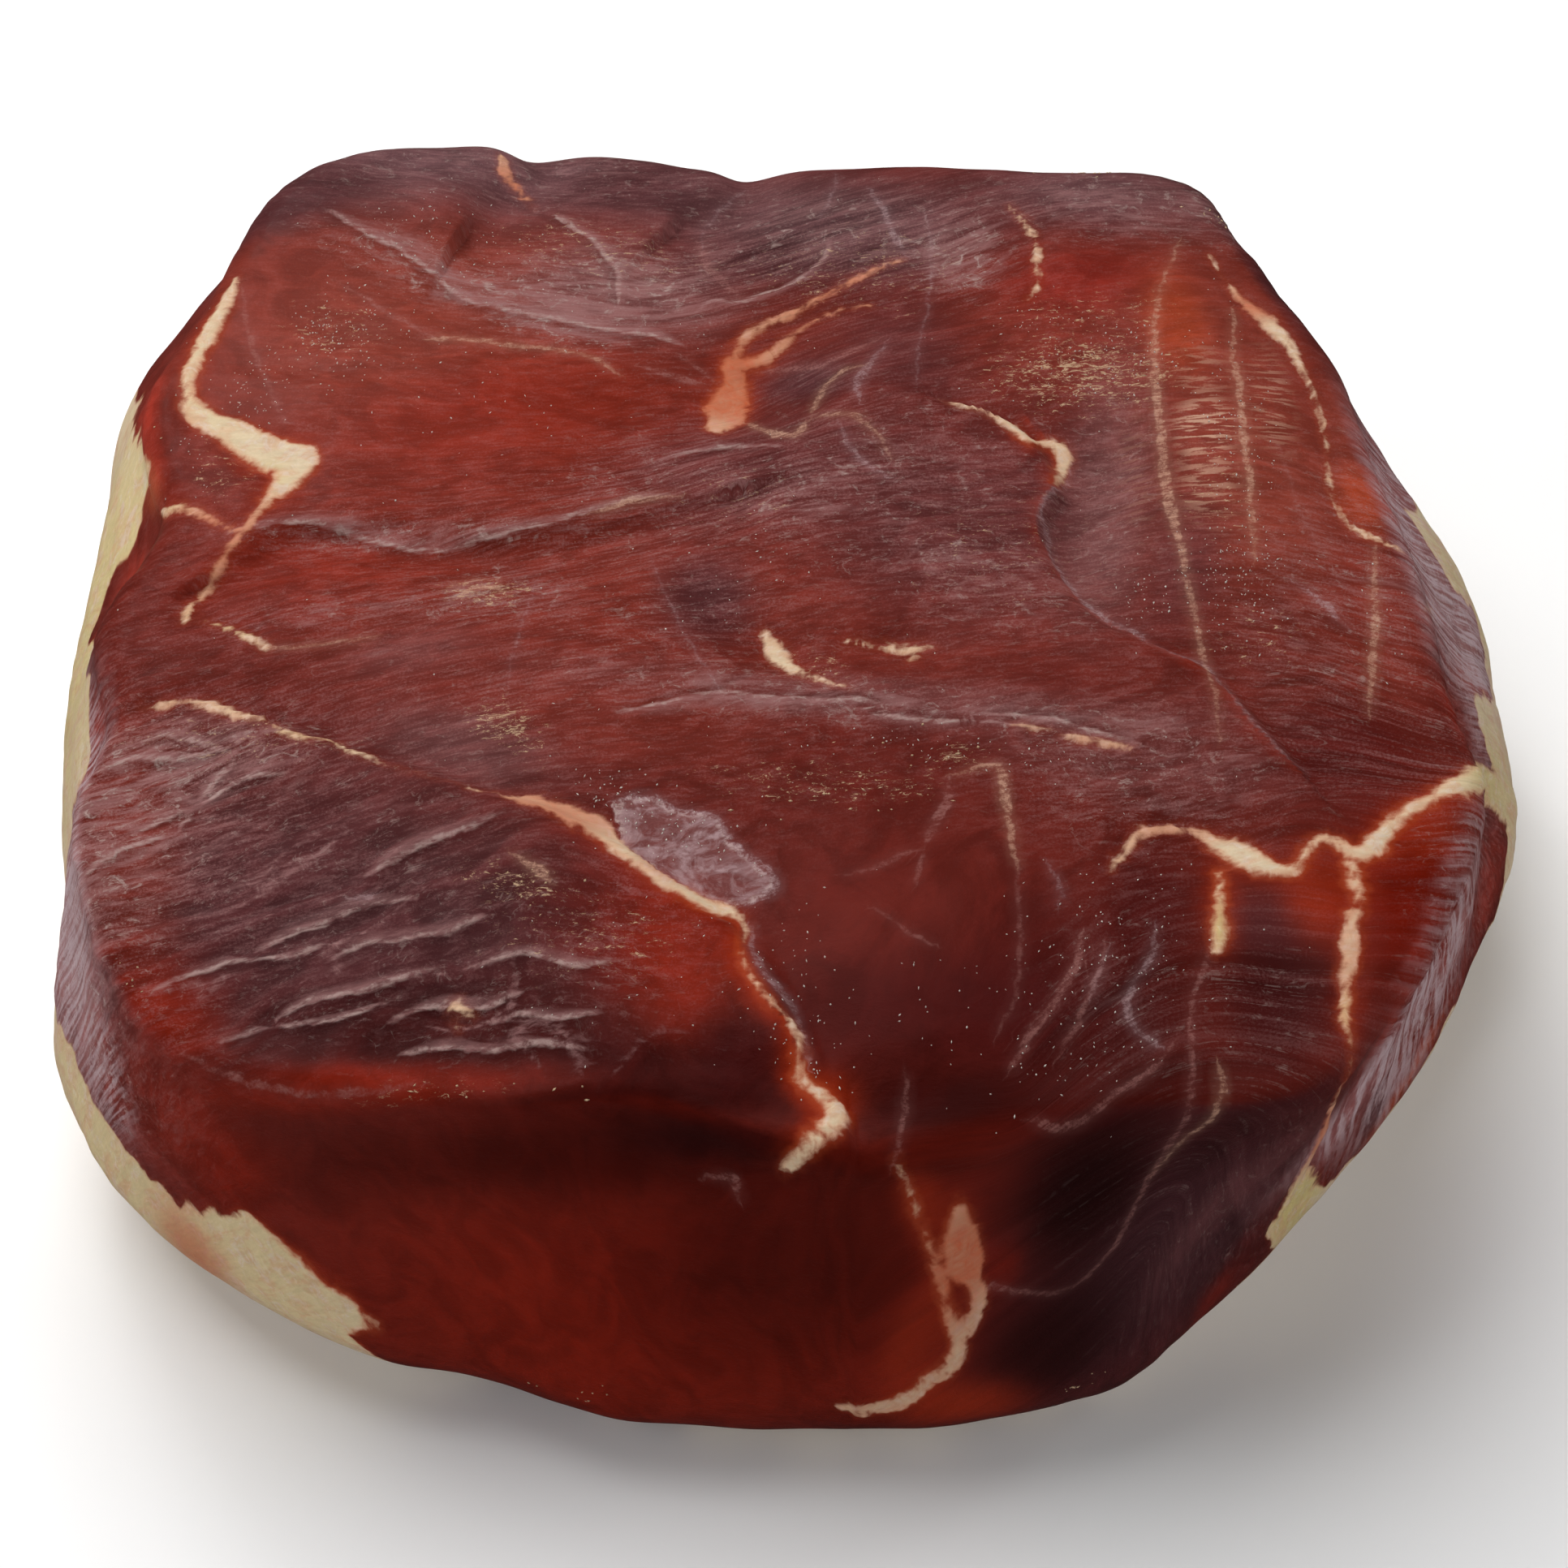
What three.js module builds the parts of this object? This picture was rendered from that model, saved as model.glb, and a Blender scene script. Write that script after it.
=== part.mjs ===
// A pressed boneless Spanish ham, trimmed of its skin, lying on its fat side.
// Millimetres, +Z up. The origin is the middle of the resting face, the cut front looks along -Y.
//
// The ham is one closed skin made of rings. Each ring goes round the ham once, and the rings run from the
// middle of the underside, round the foot, up the side, over the shoulder and in to the middle of the top.
// Two rounded squares drive it: the outline of the cut top and the outline of the widest girth.
import * as THREE from "three";

// Sizes of the whole ham
const HEIGHT = 88;
const TOP_WIDTH = 238;
const TOP_DEPTH = 238;
const TOP_SQUARENESS = 3.4;
const TOP_CENTRE_Y = 13;
const GIRTH_WIDTH = 282;
const GIRTH_DEPTH = 262;
const GIRTH_SQUARENESS = 2.3;
const GIRTH_CENTRE_Y = 7;

// Heights and roundings of the side, which the tables below vary round the ham
const GIRTH_HEIGHT = 30;
const FOOT_TUCK = 24;
const SHOULDER_RADIUS = 7;
const SIDE_BULGE = 1.6;

// The share of the way from the shoulder to the middle of the top over which the top's own relief fades in
const TAKEOVER_SHARE = 0.12;

// How many points the skin has round the ham and along each stretch
const SLICES = 112;
const BASE_RINGS = 3;
const FOOT_RINGS = 4;
const SIDE_RINGS = 7;
const SHOULDER_RINGS = 3;
const TOP_RINGS = 16;

// Departures from the even shapes. Each is a soft bell: where its middle is, in degrees round the ham from +X
// and anticlockwise from above, how many degrees it spreads, and how much it adds.
const TOP_CORNERS = [
  { at: 54, spread: 6, add: 5 },
  { at: 45, spread: 9, add: -2 },
  { at: 37, spread: 9, add: -7 },
  { at: 20, spread: 14, add: -7 },
  { at: 98, spread: 9, add: -4 },
  { at: 106, spread: 8, add: 3 },
  { at: 129, spread: 13, add: 12 },
  { at: 158, spread: 9, add: 6 },
  { at: 172, spread: 6, add: -3 },
  { at: 185, spread: 8, add: 6 },
  { at: 204, spread: 6, add: 4 },
  { at: 222, spread: 18, add: 9 },
  { at: 239, spread: 7, add: -4 },
  { at: 256, spread: 8, add: -5 },
  { at: 276, spread: 11, add: 6 },
  { at: 311, spread: 11, add: 9 },
  { at: 315, spread: 6, add: -5 },
  { at: 338, spread: 8, add: 6 },
];
const GIRTH_CORNERS = [
  { at: 9, spread: 7, add: -2 },
  { at: 17, spread: 10, add: 5 },
  { at: 34, spread: 14, add: -5 },
  { at: 112, spread: 14, add: 4 },
  { at: 144, spread: 15, add: 17 },
  { at: 158, spread: 7, add: -4 },
  { at: 182, spread: 8, add: -2 },
  { at: 194, spread: 9, add: -4 },
  { at: 204, spread: 6, add: 3 },
  { at: 215, spread: 9, add: 4 },
  { at: 245, spread: 7, add: -4 },
  { at: 264, spread: 20, add: -3 },
  { at: 297, spread: 6, add: 2 },
  { at: 308, spread: 14, add: -7 },
  { at: 322, spread: 9, add: -4 },
  { at: 334, spread: 20, add: -11 },
  { at: 357, spread: 7, add: 3 },
];
const GIRTH_LIFTS = [
  { at: 270, spread: 40, add: -8 },
  { at: 150, spread: 30, add: 6 },
];
const FOOT_TUCKS = [
  { at: 268, spread: 38, add: -8 },
  { at: 190, spread: 40, add: 4 },
];
const SHOULDERS = [
  { at: 60, spread: 40, add: 2 },
  { at: 215, spread: 18, add: -3 },
  { at: 250, spread: 14, add: -4 },
  { at: 305, spread: 12, add: -3 },
];
const SIDE_BULGES = [
  { at: 146, spread: 16, add: 0.9 },
  { at: 215, spread: 22, add: -0.5 },
  { at: 250, spread: 20, add: -0.3 },
  { at: 330, spread: 24, add: -0.5 },
];

// Swells and hollows of the cut top: middle, half lengths along and across, turn in degrees, and rise
const SWELLS = {
  backLeftLobe: { x: -78, y: 116, along: 40, across: 22, turn: -6, rise: 5 },
  backRightLobe: { x: 62, y: 118, along: 34, across: 16, turn: 0, rise: 1.5 },
  leftPillow: { x: -58, y: 55, along: 42, across: 24, turn: 8, rise: 2.5 },
  middlePillow: { x: -42, y: -4, along: 46, across: 20, turn: -8, rise: 1.8 },
  rightBand: { x: 86, y: 35, along: 18, across: 55, turn: 8, rise: 2 },
  frontPlain: { x: 28, y: -76, along: 34, across: 22, turn: 0, rise: 1.2 },
  frontLip: { x: 15, y: -118, along: 42, across: 22, turn: 0, rise: -5 },
  leftSlump: { x: -78, y: -92, along: 34, across: 14, turn: -4, rise: -2.5 },
  boneHollow: { x: -4, y: 66, along: 20, across: 11, turn: 34, rise: -4.5 },
  rightValley: { x: 60, y: 40, along: 8, across: 22, turn: -8, rise: -2.5 },
  stretchedPit: { x: -2, y: -4, along: 12, across: 7, turn: -20, rise: -2.5 },
  smallPit: { x: 22, y: -3, along: 10, across: 5, turn: 0, rise: -1.8 },
  frontPocket: { x: 47, y: -100, along: 10, across: 5, turn: 12, rise: -3 },
  darkEye: { x: 83, y: -80, along: 14, across: 20, turn: -10, rise: -2 },
};

// Ledges, where one muscle lies over the next. The lower muscle is on the right of the route.
const LEDGE_SOFTNESS = 4;
const LEDGES = {
  leftFold: {
    route: [[-104, 14], [-92, 23], [-73, 25], [-54, 21], [-40, 23], [-13, 34]],
    drop: 2.4,
    reach: 11,
  },
  rightSeam: {
    route: [[90, -33], [76, -10], [56, 5], [48, 26], [52, 39], [41, 56], [30, 60]],
    drop: 2.2,
    reach: 10,
  },
  frontSeam: {
    route: [[9, -106], [2, -87], [-8, -68], [-34, -45], [-54, -36], [-88, -22]],
    drop: 2.2,
    reach: 9,
  },
  lobeStep: { route: [[-62, 108], [-57, 122], [-56, 140]], drop: 4, reach: 13 },
  backNotch: { route: [[-20, 112], [-13, 124], [-10, 140]], drop: 3, reach: 12 },
};

const degreesToRadians = Math.PI / 180;
const bell = (offset) => Math.exp(-offset * offset);
const ease = (share) => share * share * (3 - 2 * share);

// The sum of a table's bells at one angle
function around(degrees, table) {
  const away = (at) => ((((degrees - at + 180) % 360) + 360) % 360) - 180;
  return table.reduce((sum, { at, spread, add }) => sum + add * bell(away(at) / spread), 0);
}

// A point on a rounded square, which its corner table varies
function outlinePoint(degrees, width, depth, squareness, centreY, corners) {
  const turn = degrees * degreesToRadians;
  const across = (2 * Math.abs(Math.cos(turn))) / width;
  const along = (2 * Math.abs(Math.sin(turn))) / depth;
  const even = (across ** squareness + along ** squareness) ** (-1 / squareness);
  const radius = even + around(degrees, corners);
  return new THREE.Vector2(radius * Math.cos(turn), centreY + radius * Math.sin(turn));
}

// How high a swell lifts the cut top at a place
function swellAt(x, y, { x: middleX, y: middleY, along, across, turn, rise }) {
  const place = new THREE.Vector2(x - middleX, y - middleY);
  place.rotateAround(new THREE.Vector2(), -turn * degreesToRadians);
  return rise * bell(place.x / along) * bell(place.y / across);
}

// How far a place lies from a route, positive on its right
function sideOf(x, y, route) {
  const place = new THREE.Vector2(x, y);
  let nearest = Infinity;
  let side = 1;
  for (let i = 1; i < route.length; i++) {
    const from = new THREE.Vector2(...route[i - 1]);
    const step = new THREE.Vector2(...route[i]).sub(from);
    const offset = place.clone().sub(from);
    const share = THREE.MathUtils.clamp(offset.dot(step) / step.lengthSq(), 0, 1);
    const distance = offset.distanceTo(step.clone().multiplyScalar(share));
    if (distance < nearest) {
      nearest = distance;
      side = Math.sign(offset.cross(step)) || 1;
    }
  }
  return nearest * side;
}

// A ledge drops on its right and comes back to level over its reach. Its left swells half as much.
function ledgeAt(x, y, { route, drop, reach }) {
  const side = sideOf(x, y, route);
  const fromSwellToDrop = THREE.MathUtils.mapLinear(Math.tanh(side / LEDGE_SOFTNESS), -1, 1, 0.5, -1);
  return drop * fromSwellToDrop * bell(side / reach);
}

function topHeight(x, y) {
  const swells = Object.values(SWELLS).reduce((sum, swell) => sum + swellAt(x, y, swell), 0);
  const ledges = Object.values(LEDGES).reduce((sum, ledge) => sum + ledgeAt(x, y, ledge), 0);
  return HEIGHT + swells + ledges;
}

// Everything that the rings need at one angle
function sliceAt(degrees) {
  const turn = degrees * degreesToRadians;
  const top = outlinePoint(degrees, TOP_WIDTH, TOP_DEPTH, TOP_SQUARENESS, TOP_CENTRE_Y, TOP_CORNERS);
  const girth = outlinePoint(
    degrees, GIRTH_WIDTH, GIRTH_DEPTH, GIRTH_SQUARENESS, GIRTH_CENTRE_Y, GIRTH_CORNERS,
  );
  return {
    outward: new THREE.Vector2(Math.cos(turn), Math.sin(turn)),
    top,
    girth,
    girthHeight: GIRTH_HEIGHT + around(degrees, GIRTH_LIFTS),
    footTuck: FOOT_TUCK + around(degrees, FOOT_TUCKS),
    shoulder: SHOULDER_RADIUS + around(degrees, SHOULDERS),
    bulge: SIDE_BULGE + around(degrees, SIDE_BULGES),
    topHeight: topHeight(top.x, top.y),
  };
}

const lift = (flat, z) => new THREE.Vector3(flat.x, flat.y, z);
const inward = (flat, { outward }, distance) => flat.clone().addScaledVector(outward, -distance);

// The five stretches of a slice. Each takes a share from 0 to 1 along its stretch, from the base up.
function basePoint(slice, share) {
  const foot = inward(slice.girth, slice, slice.footTuck);
  const middle = new THREE.Vector2(0, GIRTH_CENTRE_Y);
  return lift(middle.lerp(foot, share), 0);
}

function footPoint(slice, share) {
  const turn = (share * Math.PI) / 2;
  const flat = inward(slice.girth, slice, slice.footTuck * (1 - Math.sin(turn)));
  return lift(flat, slice.girthHeight * (1 - Math.cos(turn)));
}

function sidePoint(slice, share) {
  const flat = slice.girth.clone().lerp(slice.top, share ** slice.bulge);
  const highest = slice.topHeight - slice.shoulder;
  return lift(flat, THREE.MathUtils.lerp(slice.girthHeight, highest, share));
}

function shoulderPoint(slice, share) {
  const turn = (share * Math.PI) / 2;
  const flat = inward(slice.top, slice, slice.shoulder * (1 - Math.cos(turn)));
  return lift(flat, slice.topHeight - slice.shoulder * (1 - Math.sin(turn)));
}

// The shoulder ends at its own outline's height, and the cut top takes over from it in its outermost stretch
function topPoint(slice, share) {
  const edge = inward(slice.top, slice, slice.shoulder);
  const flat = edge.lerp(new THREE.Vector2(0, TOP_CENTRE_Y), share);
  const takeover = ease(Math.min(1, share / TAKEOVER_SHARE));
  return lift(flat, THREE.MathUtils.lerp(slice.topHeight, topHeight(flat.x, flat.y), takeover));
}

// One ring for each share along a stretch. The first share is left to the stretch before it.
function rings(slices, pointOn, count, lastShare = 1) {
  const shares = Array.from({ length: count }, (_, i) => ((i + 1) / count) * lastShare);
  return shares.map((share) => slices.map((slice) => pointOn(slice, share)));
}

function hamGeometry() {
  const slices = Array.from({ length: SLICES }, (_, i) => sliceAt((i * 360) / SLICES));
  const skin = [
    ...rings(slices, basePoint, BASE_RINGS),
    ...rings(slices, footPoint, FOOT_RINGS),
    ...rings(slices, sidePoint, SIDE_RINGS),
    ...rings(slices, shoulderPoint, SHOULDER_RINGS),
    ...rings(slices, topPoint, TOP_RINGS, TOP_RINGS / (TOP_RINGS + 1)),
  ];
  const baseMiddle = lift(new THREE.Vector2(0, GIRTH_CENTRE_Y), 0);
  const topMiddle = lift(new THREE.Vector2(0, TOP_CENTRE_Y), topHeight(0, TOP_CENTRE_Y));
  const points = [...skin.flat(), baseMiddle, topMiddle];

  const faces = [];
  const at = (ring, slice) => ring * SLICES + (slice % SLICES);
  for (let slice = 0; slice < SLICES; slice++) {
    for (let ring = 1; ring < skin.length; ring++) {
      const [low, lowNext] = [at(ring - 1, slice), at(ring - 1, slice + 1)];
      const [high, highNext] = [at(ring, slice), at(ring, slice + 1)];
      faces.push(low, lowNext, highNext, low, highNext, high);
    }
    faces.push(points.length - 2, at(0, slice + 1), at(0, slice));
    faces.push(points.length - 1, at(skin.length - 1, slice), at(skin.length - 1, slice + 1));
  }

  const geometry = new THREE.BufferGeometry().setFromPoints(points);
  geometry.setIndex(faces);
  geometry.computeBoundingBox();
  const middle = geometry.boundingBox.getCenter(new THREE.Vector3());
  geometry.translate(-middle.x, -middle.y, 0);
  geometry.computeVertexNormals();
  return geometry;
}

const curedMeat = new THREE.MeshStandardMaterial({ color: 0x7a2a1e, roughness: 0.4, metalness: 0 });

const ham = new THREE.Mesh(hamGeometry(), curedMeat);
ham.name = "ham";

const part = new THREE.Group();
part.add(ham);

export default part;
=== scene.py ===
# %% [markdown]
# # A boneless Spanish ham
# A whole dry-cured ham is boned, pressed to a block and left to dry. It lies on its fat side, so we look at
# the trimmed meat. This notebook skins the CAD solid with a finer surface and paints muscle, fat and drying
# marks on it. Everything is in the CAD frame, and one Blender unit is a metre.

import bpy
import numpy as np
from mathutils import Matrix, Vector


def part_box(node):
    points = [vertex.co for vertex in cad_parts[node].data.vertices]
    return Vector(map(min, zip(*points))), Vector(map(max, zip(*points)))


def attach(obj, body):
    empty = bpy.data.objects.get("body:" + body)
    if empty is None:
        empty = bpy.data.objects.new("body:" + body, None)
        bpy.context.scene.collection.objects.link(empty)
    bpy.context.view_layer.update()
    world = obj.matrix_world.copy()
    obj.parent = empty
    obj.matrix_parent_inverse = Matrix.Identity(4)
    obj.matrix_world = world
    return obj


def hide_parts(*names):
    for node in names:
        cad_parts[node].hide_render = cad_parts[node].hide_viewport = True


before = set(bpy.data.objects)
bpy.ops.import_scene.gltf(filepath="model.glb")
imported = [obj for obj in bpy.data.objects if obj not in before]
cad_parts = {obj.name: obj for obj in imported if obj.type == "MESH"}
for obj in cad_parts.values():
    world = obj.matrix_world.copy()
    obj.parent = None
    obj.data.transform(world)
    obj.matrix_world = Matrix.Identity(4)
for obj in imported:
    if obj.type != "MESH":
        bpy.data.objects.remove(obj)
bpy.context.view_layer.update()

HAM_LOW, HAM_HIGH = (np.array(corner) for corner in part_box("ham"))
print("the ham's box in millimetres:", (HAM_HIGH - HAM_LOW) * 1000)

# %% [markdown]
# ## The camera
# The ham is seen from half above, from its cut front wall. A lens of 85 mm at arm's length keeps the back
# only a little smaller than the front, as food is usually photographed. An empty target isn't needed: the
# camera turns about X alone, because it stands straight in front.

# %% Camera
MM = 0.001
CAMERA_ELEVATION = np.radians(50.0)
CAMERA_DISTANCE = 0.700
CAMERA_TARGET = np.array([-0.0006, -0.0087, 0.045])


def make_camera():
    """Stands at target + distance * (0, -cos elevation, sin elevation) and looks back at the target."""
    lens = bpy.data.cameras.new("camera")
    lens.lens = 85.0
    lens.sensor_width = 36.0
    camera = bpy.data.objects.new("camera", lens)
    back = np.array([0.0, -np.cos(CAMERA_ELEVATION), np.sin(CAMERA_ELEVATION)])
    camera.location = CAMERA_TARGET + back * CAMERA_DISTANCE
    camera.rotation_euler = (np.pi / 2 - CAMERA_ELEVATION, 0, 0)
    bpy.context.collection.objects.link(camera)
    bpy.context.scene.camera = camera
    return camera


camera = make_camera()
print("the camera stands at", tuple(round(v, 3) for v in camera.location))

# %% [markdown]
# ## The form in numbers
# The block is worked out in millimetres, about a point a few millimetres from the middle of its box. Two
# rounded squares give the cut top and the widest girth, and short tables of soft bells give their corners.
# A table's rows are (direction in degrees, spread in degrees, millimetres to add).

# %% Sizes
HEIGHT = 88.0
CENTRE_SHIFT = np.array([-0.592, -8.696])
TOP = dict(width=238.0, depth=238.0, squareness=3.4, centre_y=13.0)
GIRTH = dict(width=282.0, depth=262.0, squareness=2.3, centre_y=7.0)
GIRTH_HEIGHT = 30.0
FOOT_TUCK = 24.0
SHOULDER_RADIUS = 7.0
SIDE_BULGE = 1.6
TAKEOVER_SHARE = 0.12

TOP_CORNERS = [(54, 6, 5), (45, 9, -2), (37, 9, -7), (20, 14, -7), (98, 9, -4), (106, 8, 3), (129, 13, 12),
               (158, 9, 6), (172, 6, -3), (185, 8, 6), (204, 6, 4), (222, 18, 9), (239, 7, -4), (256, 8, -5),
               (276, 11, 6), (311, 11, 9), (315, 6, -5), (338, 8, 6)]
GIRTH_CORNERS = [(9, 7, -2), (17, 10, 5), (34, 14, -5), (112, 14, 4), (144, 15, 17), (158, 7, -4),
                 (182, 8, -2), (194, 9, -4), (204, 6, 3), (215, 9, 4), (245, 7, -4), (264, 20, -3),
                 (297, 6, 2), (308, 14, -7), (322, 9, -4), (334, 20, -11), (357, 7, 3)]
GIRTH_LIFTS = [(270, 40, -8), (150, 30, 6)]
FOOT_TUCKS = [(268, 38, -8), (190, 40, 4)]
SHOULDERS = [(60, 40, 2), (215, 18, -3), (250, 14, -4), (305, 12, -3)]
SIDE_BULGES = [(146, 16, 0.9), (215, 22, -0.5), (250, 20, -0.3), (330, 24, -0.5)]

# Swells: middle x and y, half sizes along and across, turn in degrees, rise.
SWELLS = {
    "back left lobe": (-78, 116, 40, 22, -6, 5),
    "back right lobe": (62, 118, 34, 16, 0, 1.5),
    "left pillow": (-58, 55, 42, 24, 8, 2.5),
    "middle pillow": (-42, -4, 46, 20, -8, 1.8),
    "right band": (86, 35, 18, 55, 8, 2),
    "front plain": (28, -76, 34, 22, 0, 1.2),
    "front lip": (15, -118, 42, 22, 0, -5),
    "left slump": (-78, -92, 34, 14, -4, -2.5),
    "bone hollow": (-4, 66, 20, 11, 34, -4.5),
    "right valley": (60, 40, 8, 22, -8, -2.5),
    "stretched pit": (-2, -4, 12, 7, -20, -2.5),
    "small pit": (22, -3, 10, 5, 0, -1.8),
    "front pocket": (47, -100, 10, 5, 12, -3),
    "dark eye": (83, -80, 14, 20, -10, -2),
}
# Ledges: the route of the upper muscle's edge, with the lower muscle on its right, drop, reach to each side,
# and how soft the step is.
LEDGES = {
    "left fold": ([(-104, 14), (-92, 23), (-73, 25), (-54, 21), (-40, 23), (-13, 34)], 2.4, 11, 2.5),
    "right seam": ([(90, -33), (76, -10), (56, 5), (48, 26), (52, 39), (41, 56), (30, 60)], 2.2, 10, 1.3),
    "front seam": ([(9, -106), (2, -87), (-8, -68), (-34, -45), (-54, -36), (-88, -22)], 2.2, 9, 1.6),
    "lobe step": ([(-62, 108), (-57, 122), (-56, 140)], 3.2, 13, 4),
    "back notch": ([(-20, 112), (-13, 124), (-10, 140)], 2.6, 12, 4),
}


def bell(value):
    """One at zero, falling to nothing at both sides: e to the power of minus the square."""
    return np.exp(-np.square(value))


def ease(share):
    """Rises from 0 to 1 with a soft start and end: 3 s squared minus 2 s cubed."""
    s = np.clip(share, 0, 1)
    return s * s * (3 - 2 * s)


def around(degrees, table):
    """The sum of a table's bells at each direction, wrapped at a full turn."""
    total = np.zeros_like(degrees)
    for middle, spread, add in table:
        total += add * bell(((degrees - middle + 180) % 360 - 180) / spread)
    return total


def outline(degrees, corners, width, depth, squareness, centre_y):
    """A rounded square: 1 over the n-th root of the n-th powers of the two slopes, plus the corner table."""
    turn = np.radians(degrees)
    across = np.abs(np.cos(turn)) * 2 / width
    along = np.abs(np.sin(turn)) * 2 / depth
    radius = (across ** squareness + along ** squareness) ** (-1 / squareness) + around(degrees, corners)
    return radius * np.cos(turn), centre_y + radius * np.sin(turn)


# %% [markdown]
# ## Distance to a line, and a smooth line through a few places
# Seams, folds and edges are all drawn the same way: a route through given points, and for every point
# of the surface the distance to that route, positive on its right. A curve through the points is smoother
# than straight pieces, so each stretch is cut into a few short ones on a Catmull-Rom spline.

# %% Routes
def spline(places, cuts=5):
    """Catmull-Rom: each stretch is a cubic whose slope at a point is half the way between its neighbours."""
    p = np.asarray(places, float)
    p = np.vstack([2 * p[0] - p[1], p, 2 * p[-1] - p[-2]])
    t = np.linspace(0, 1, cuts, endpoint=False)[:, None]
    pieces = []
    for a, b, c, d in zip(p[:-3], p[1:-2], p[2:-1], p[3:]):
        pieces.append(0.5 * (2 * b + (c - a) * t + (2 * a - 5 * b + 4 * c - d) * t ** 2
                             + (3 * b - a - 3 * c + d) * t ** 3))
    return np.vstack(pieces + [p[-2:-1]])


def route_offset(x, y, route):
    """Signed distance to the nearest stretch of a route, and the route's own running values there.

    A point's foot on a stretch is its projection, held between the ends. The sign is that of the cross
    product, positive on the right. Columns of the route after x and y are carried to the foot.
    """
    route = np.asarray(route, float)
    best = np.full(x.shape, np.inf)
    side = np.ones_like(x)
    place = np.zeros_like(x)
    for i in range(len(route) - 1):
        step = route[i + 1, :2] - route[i, :2]
        off_x = x - route[i, 0]
        off_y = y - route[i, 1]
        share = np.clip((off_x * step[0] + off_y * step[1]) / max(step @ step, 1e-9), 0, 1)
        away = np.hypot(off_x - share * step[0], off_y - share * step[1])
        near = away < best
        best = np.where(near, away, best)
        side = np.where(near, np.where(off_x * step[1] - off_y * step[0] >= 0, 1.0, -1.0), side)
        place = np.where(near, i + share, place)
    return best * side, place


def top_height(x, y):
    """The cut top: its flat height, plus oval bells, plus ledges.

    A ledge is drop * (-1/4 - 3/4 tanh(offset / softness)) * bell(offset / reach).
    """
    z = np.full(x.shape, HEIGHT)
    for middle_x, middle_y, half_along, half_across, turn, rise in SWELLS.values():
        a = np.radians(turn)
        along = (x - middle_x) * np.cos(a) + (y - middle_y) * np.sin(a)
        across = (y - middle_y) * np.cos(a) - (x - middle_x) * np.sin(a)
        z += rise * bell(along / half_along) * bell(across / half_across)
    for route, drop, reach, softness in LEDGES.values():
        offset, _ = route_offset(x, y, spline(route))
        z += drop * (-0.25 - 0.75 * np.tanh(offset / softness)) * bell(offset / reach)
    return z


# %% [markdown]
# ## The skin's parts
# One slice of the ham, seen from the side, runs from the top's edge over a small round shoulder, down a
# bulging side to the girth, and in under the foot to the flat base. Each part is a function of direction
# and of a share from 0 to 1, and the CAD solid is made of the same functions, only with fewer points.

# %% Slices
def slices(degrees):
    """Every size that a slice needs, at each direction."""
    turn = np.radians(degrees)
    top_x, top_y = outline(degrees, TOP_CORNERS, **TOP)
    girth_x, girth_y = outline(degrees, GIRTH_CORNERS, **GIRTH)
    return dict(
        cos=np.cos(turn), sin=np.sin(turn), top_x=top_x, top_y=top_y, girth_x=girth_x, girth_y=girth_y,
        girth_z=GIRTH_HEIGHT + around(degrees, GIRTH_LIFTS), tuck=FOOT_TUCK + around(degrees, FOOT_TUCKS),
        radius=SHOULDER_RADIUS + around(degrees, SHOULDERS), bulge=SIDE_BULGE + around(degrees, SIDE_BULGES),
        top_z=top_height(top_x, top_y))


def top_point(s, share):
    """On the cut top: from the shoulder's inner edge (share 0) straight to the centre (share 1)."""
    edge_x = s["top_x"] - s["cos"] * s["radius"]
    edge_y = s["top_y"] - s["sin"] * s["radius"]
    x = edge_x * (1 - share)
    y = edge_y + (TOP["centre_y"] - edge_y) * share
    z = s["top_z"] + (top_height(x, y) - s["top_z"]) * ease(share / TAKEOVER_SHARE)
    return np.stack([x, y, z], -1)


def shoulder_point(s, share):
    """A quarter circle from the side's top (share 0) to the cut top (share 1)."""
    a = share * np.pi / 2
    inward = s["radius"] * (1 - np.cos(a))
    z = s["top_z"] - s["radius"] * (1 - np.sin(a))
    return np.stack([s["top_x"] - s["cos"] * inward, s["top_y"] - s["sin"] * inward, z], -1)


def side_point(s, share):
    """From the girth (share 0) to the shoulder (share 1), moved inward by share to the power of bulge."""
    k = share ** s["bulge"]
    top = s["top_z"] - s["radius"]
    x = s["girth_x"] + (s["top_x"] - s["girth_x"]) * k
    y = s["girth_y"] + (s["top_y"] - s["girth_y"]) * k
    return np.stack([x, y, s["girth_z"] + (top - s["girth_z"]) * share], -1)


def foot_point(s, share):
    """A quarter ellipse from the base's edge (share 0) to the girth (share 1)."""
    a = share * np.pi / 2
    inward = s["tuck"] * (1 - np.sin(a))
    z = s["girth_z"] * (1 - np.cos(a))
    return np.stack([s["girth_x"] - s["cos"] * inward, s["girth_y"] - s["sin"] * inward, z], -1)


def base_point(s, share):
    """On the flat base: from its middle (share 0) to its edge (share 1)."""
    edge_x = s["girth_x"] - s["cos"] * s["tuck"]
    edge_y = s["girth_y"] - s["sin"] * s["tuck"]
    y = GIRTH["centre_y"] + (edge_y - GIRTH["centre_y"]) * share
    return np.stack([edge_x * share, y, 0 * edge_x], -1)


# %% [markdown]
# ## The grid
# A grid of rings round a pole would crowd its points at the middle of the top. So the top is a square grid
# whose square rings become the ham's own outline, and a strip of rows round its border carries on over the
# shoulder, down the side and in under the foot. Each point also gets a place on a flat skin map: seen from
# above on the top, and rolled out flat beyond its edge, as a peeled skin would lie.

# %% Grid of points
TOP_CELLS = 208
SHOULDER_ROWS = 7
SIDE_ROWS = 26
FOOT_ROWS = 11
BASE_ROWS = 9


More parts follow.
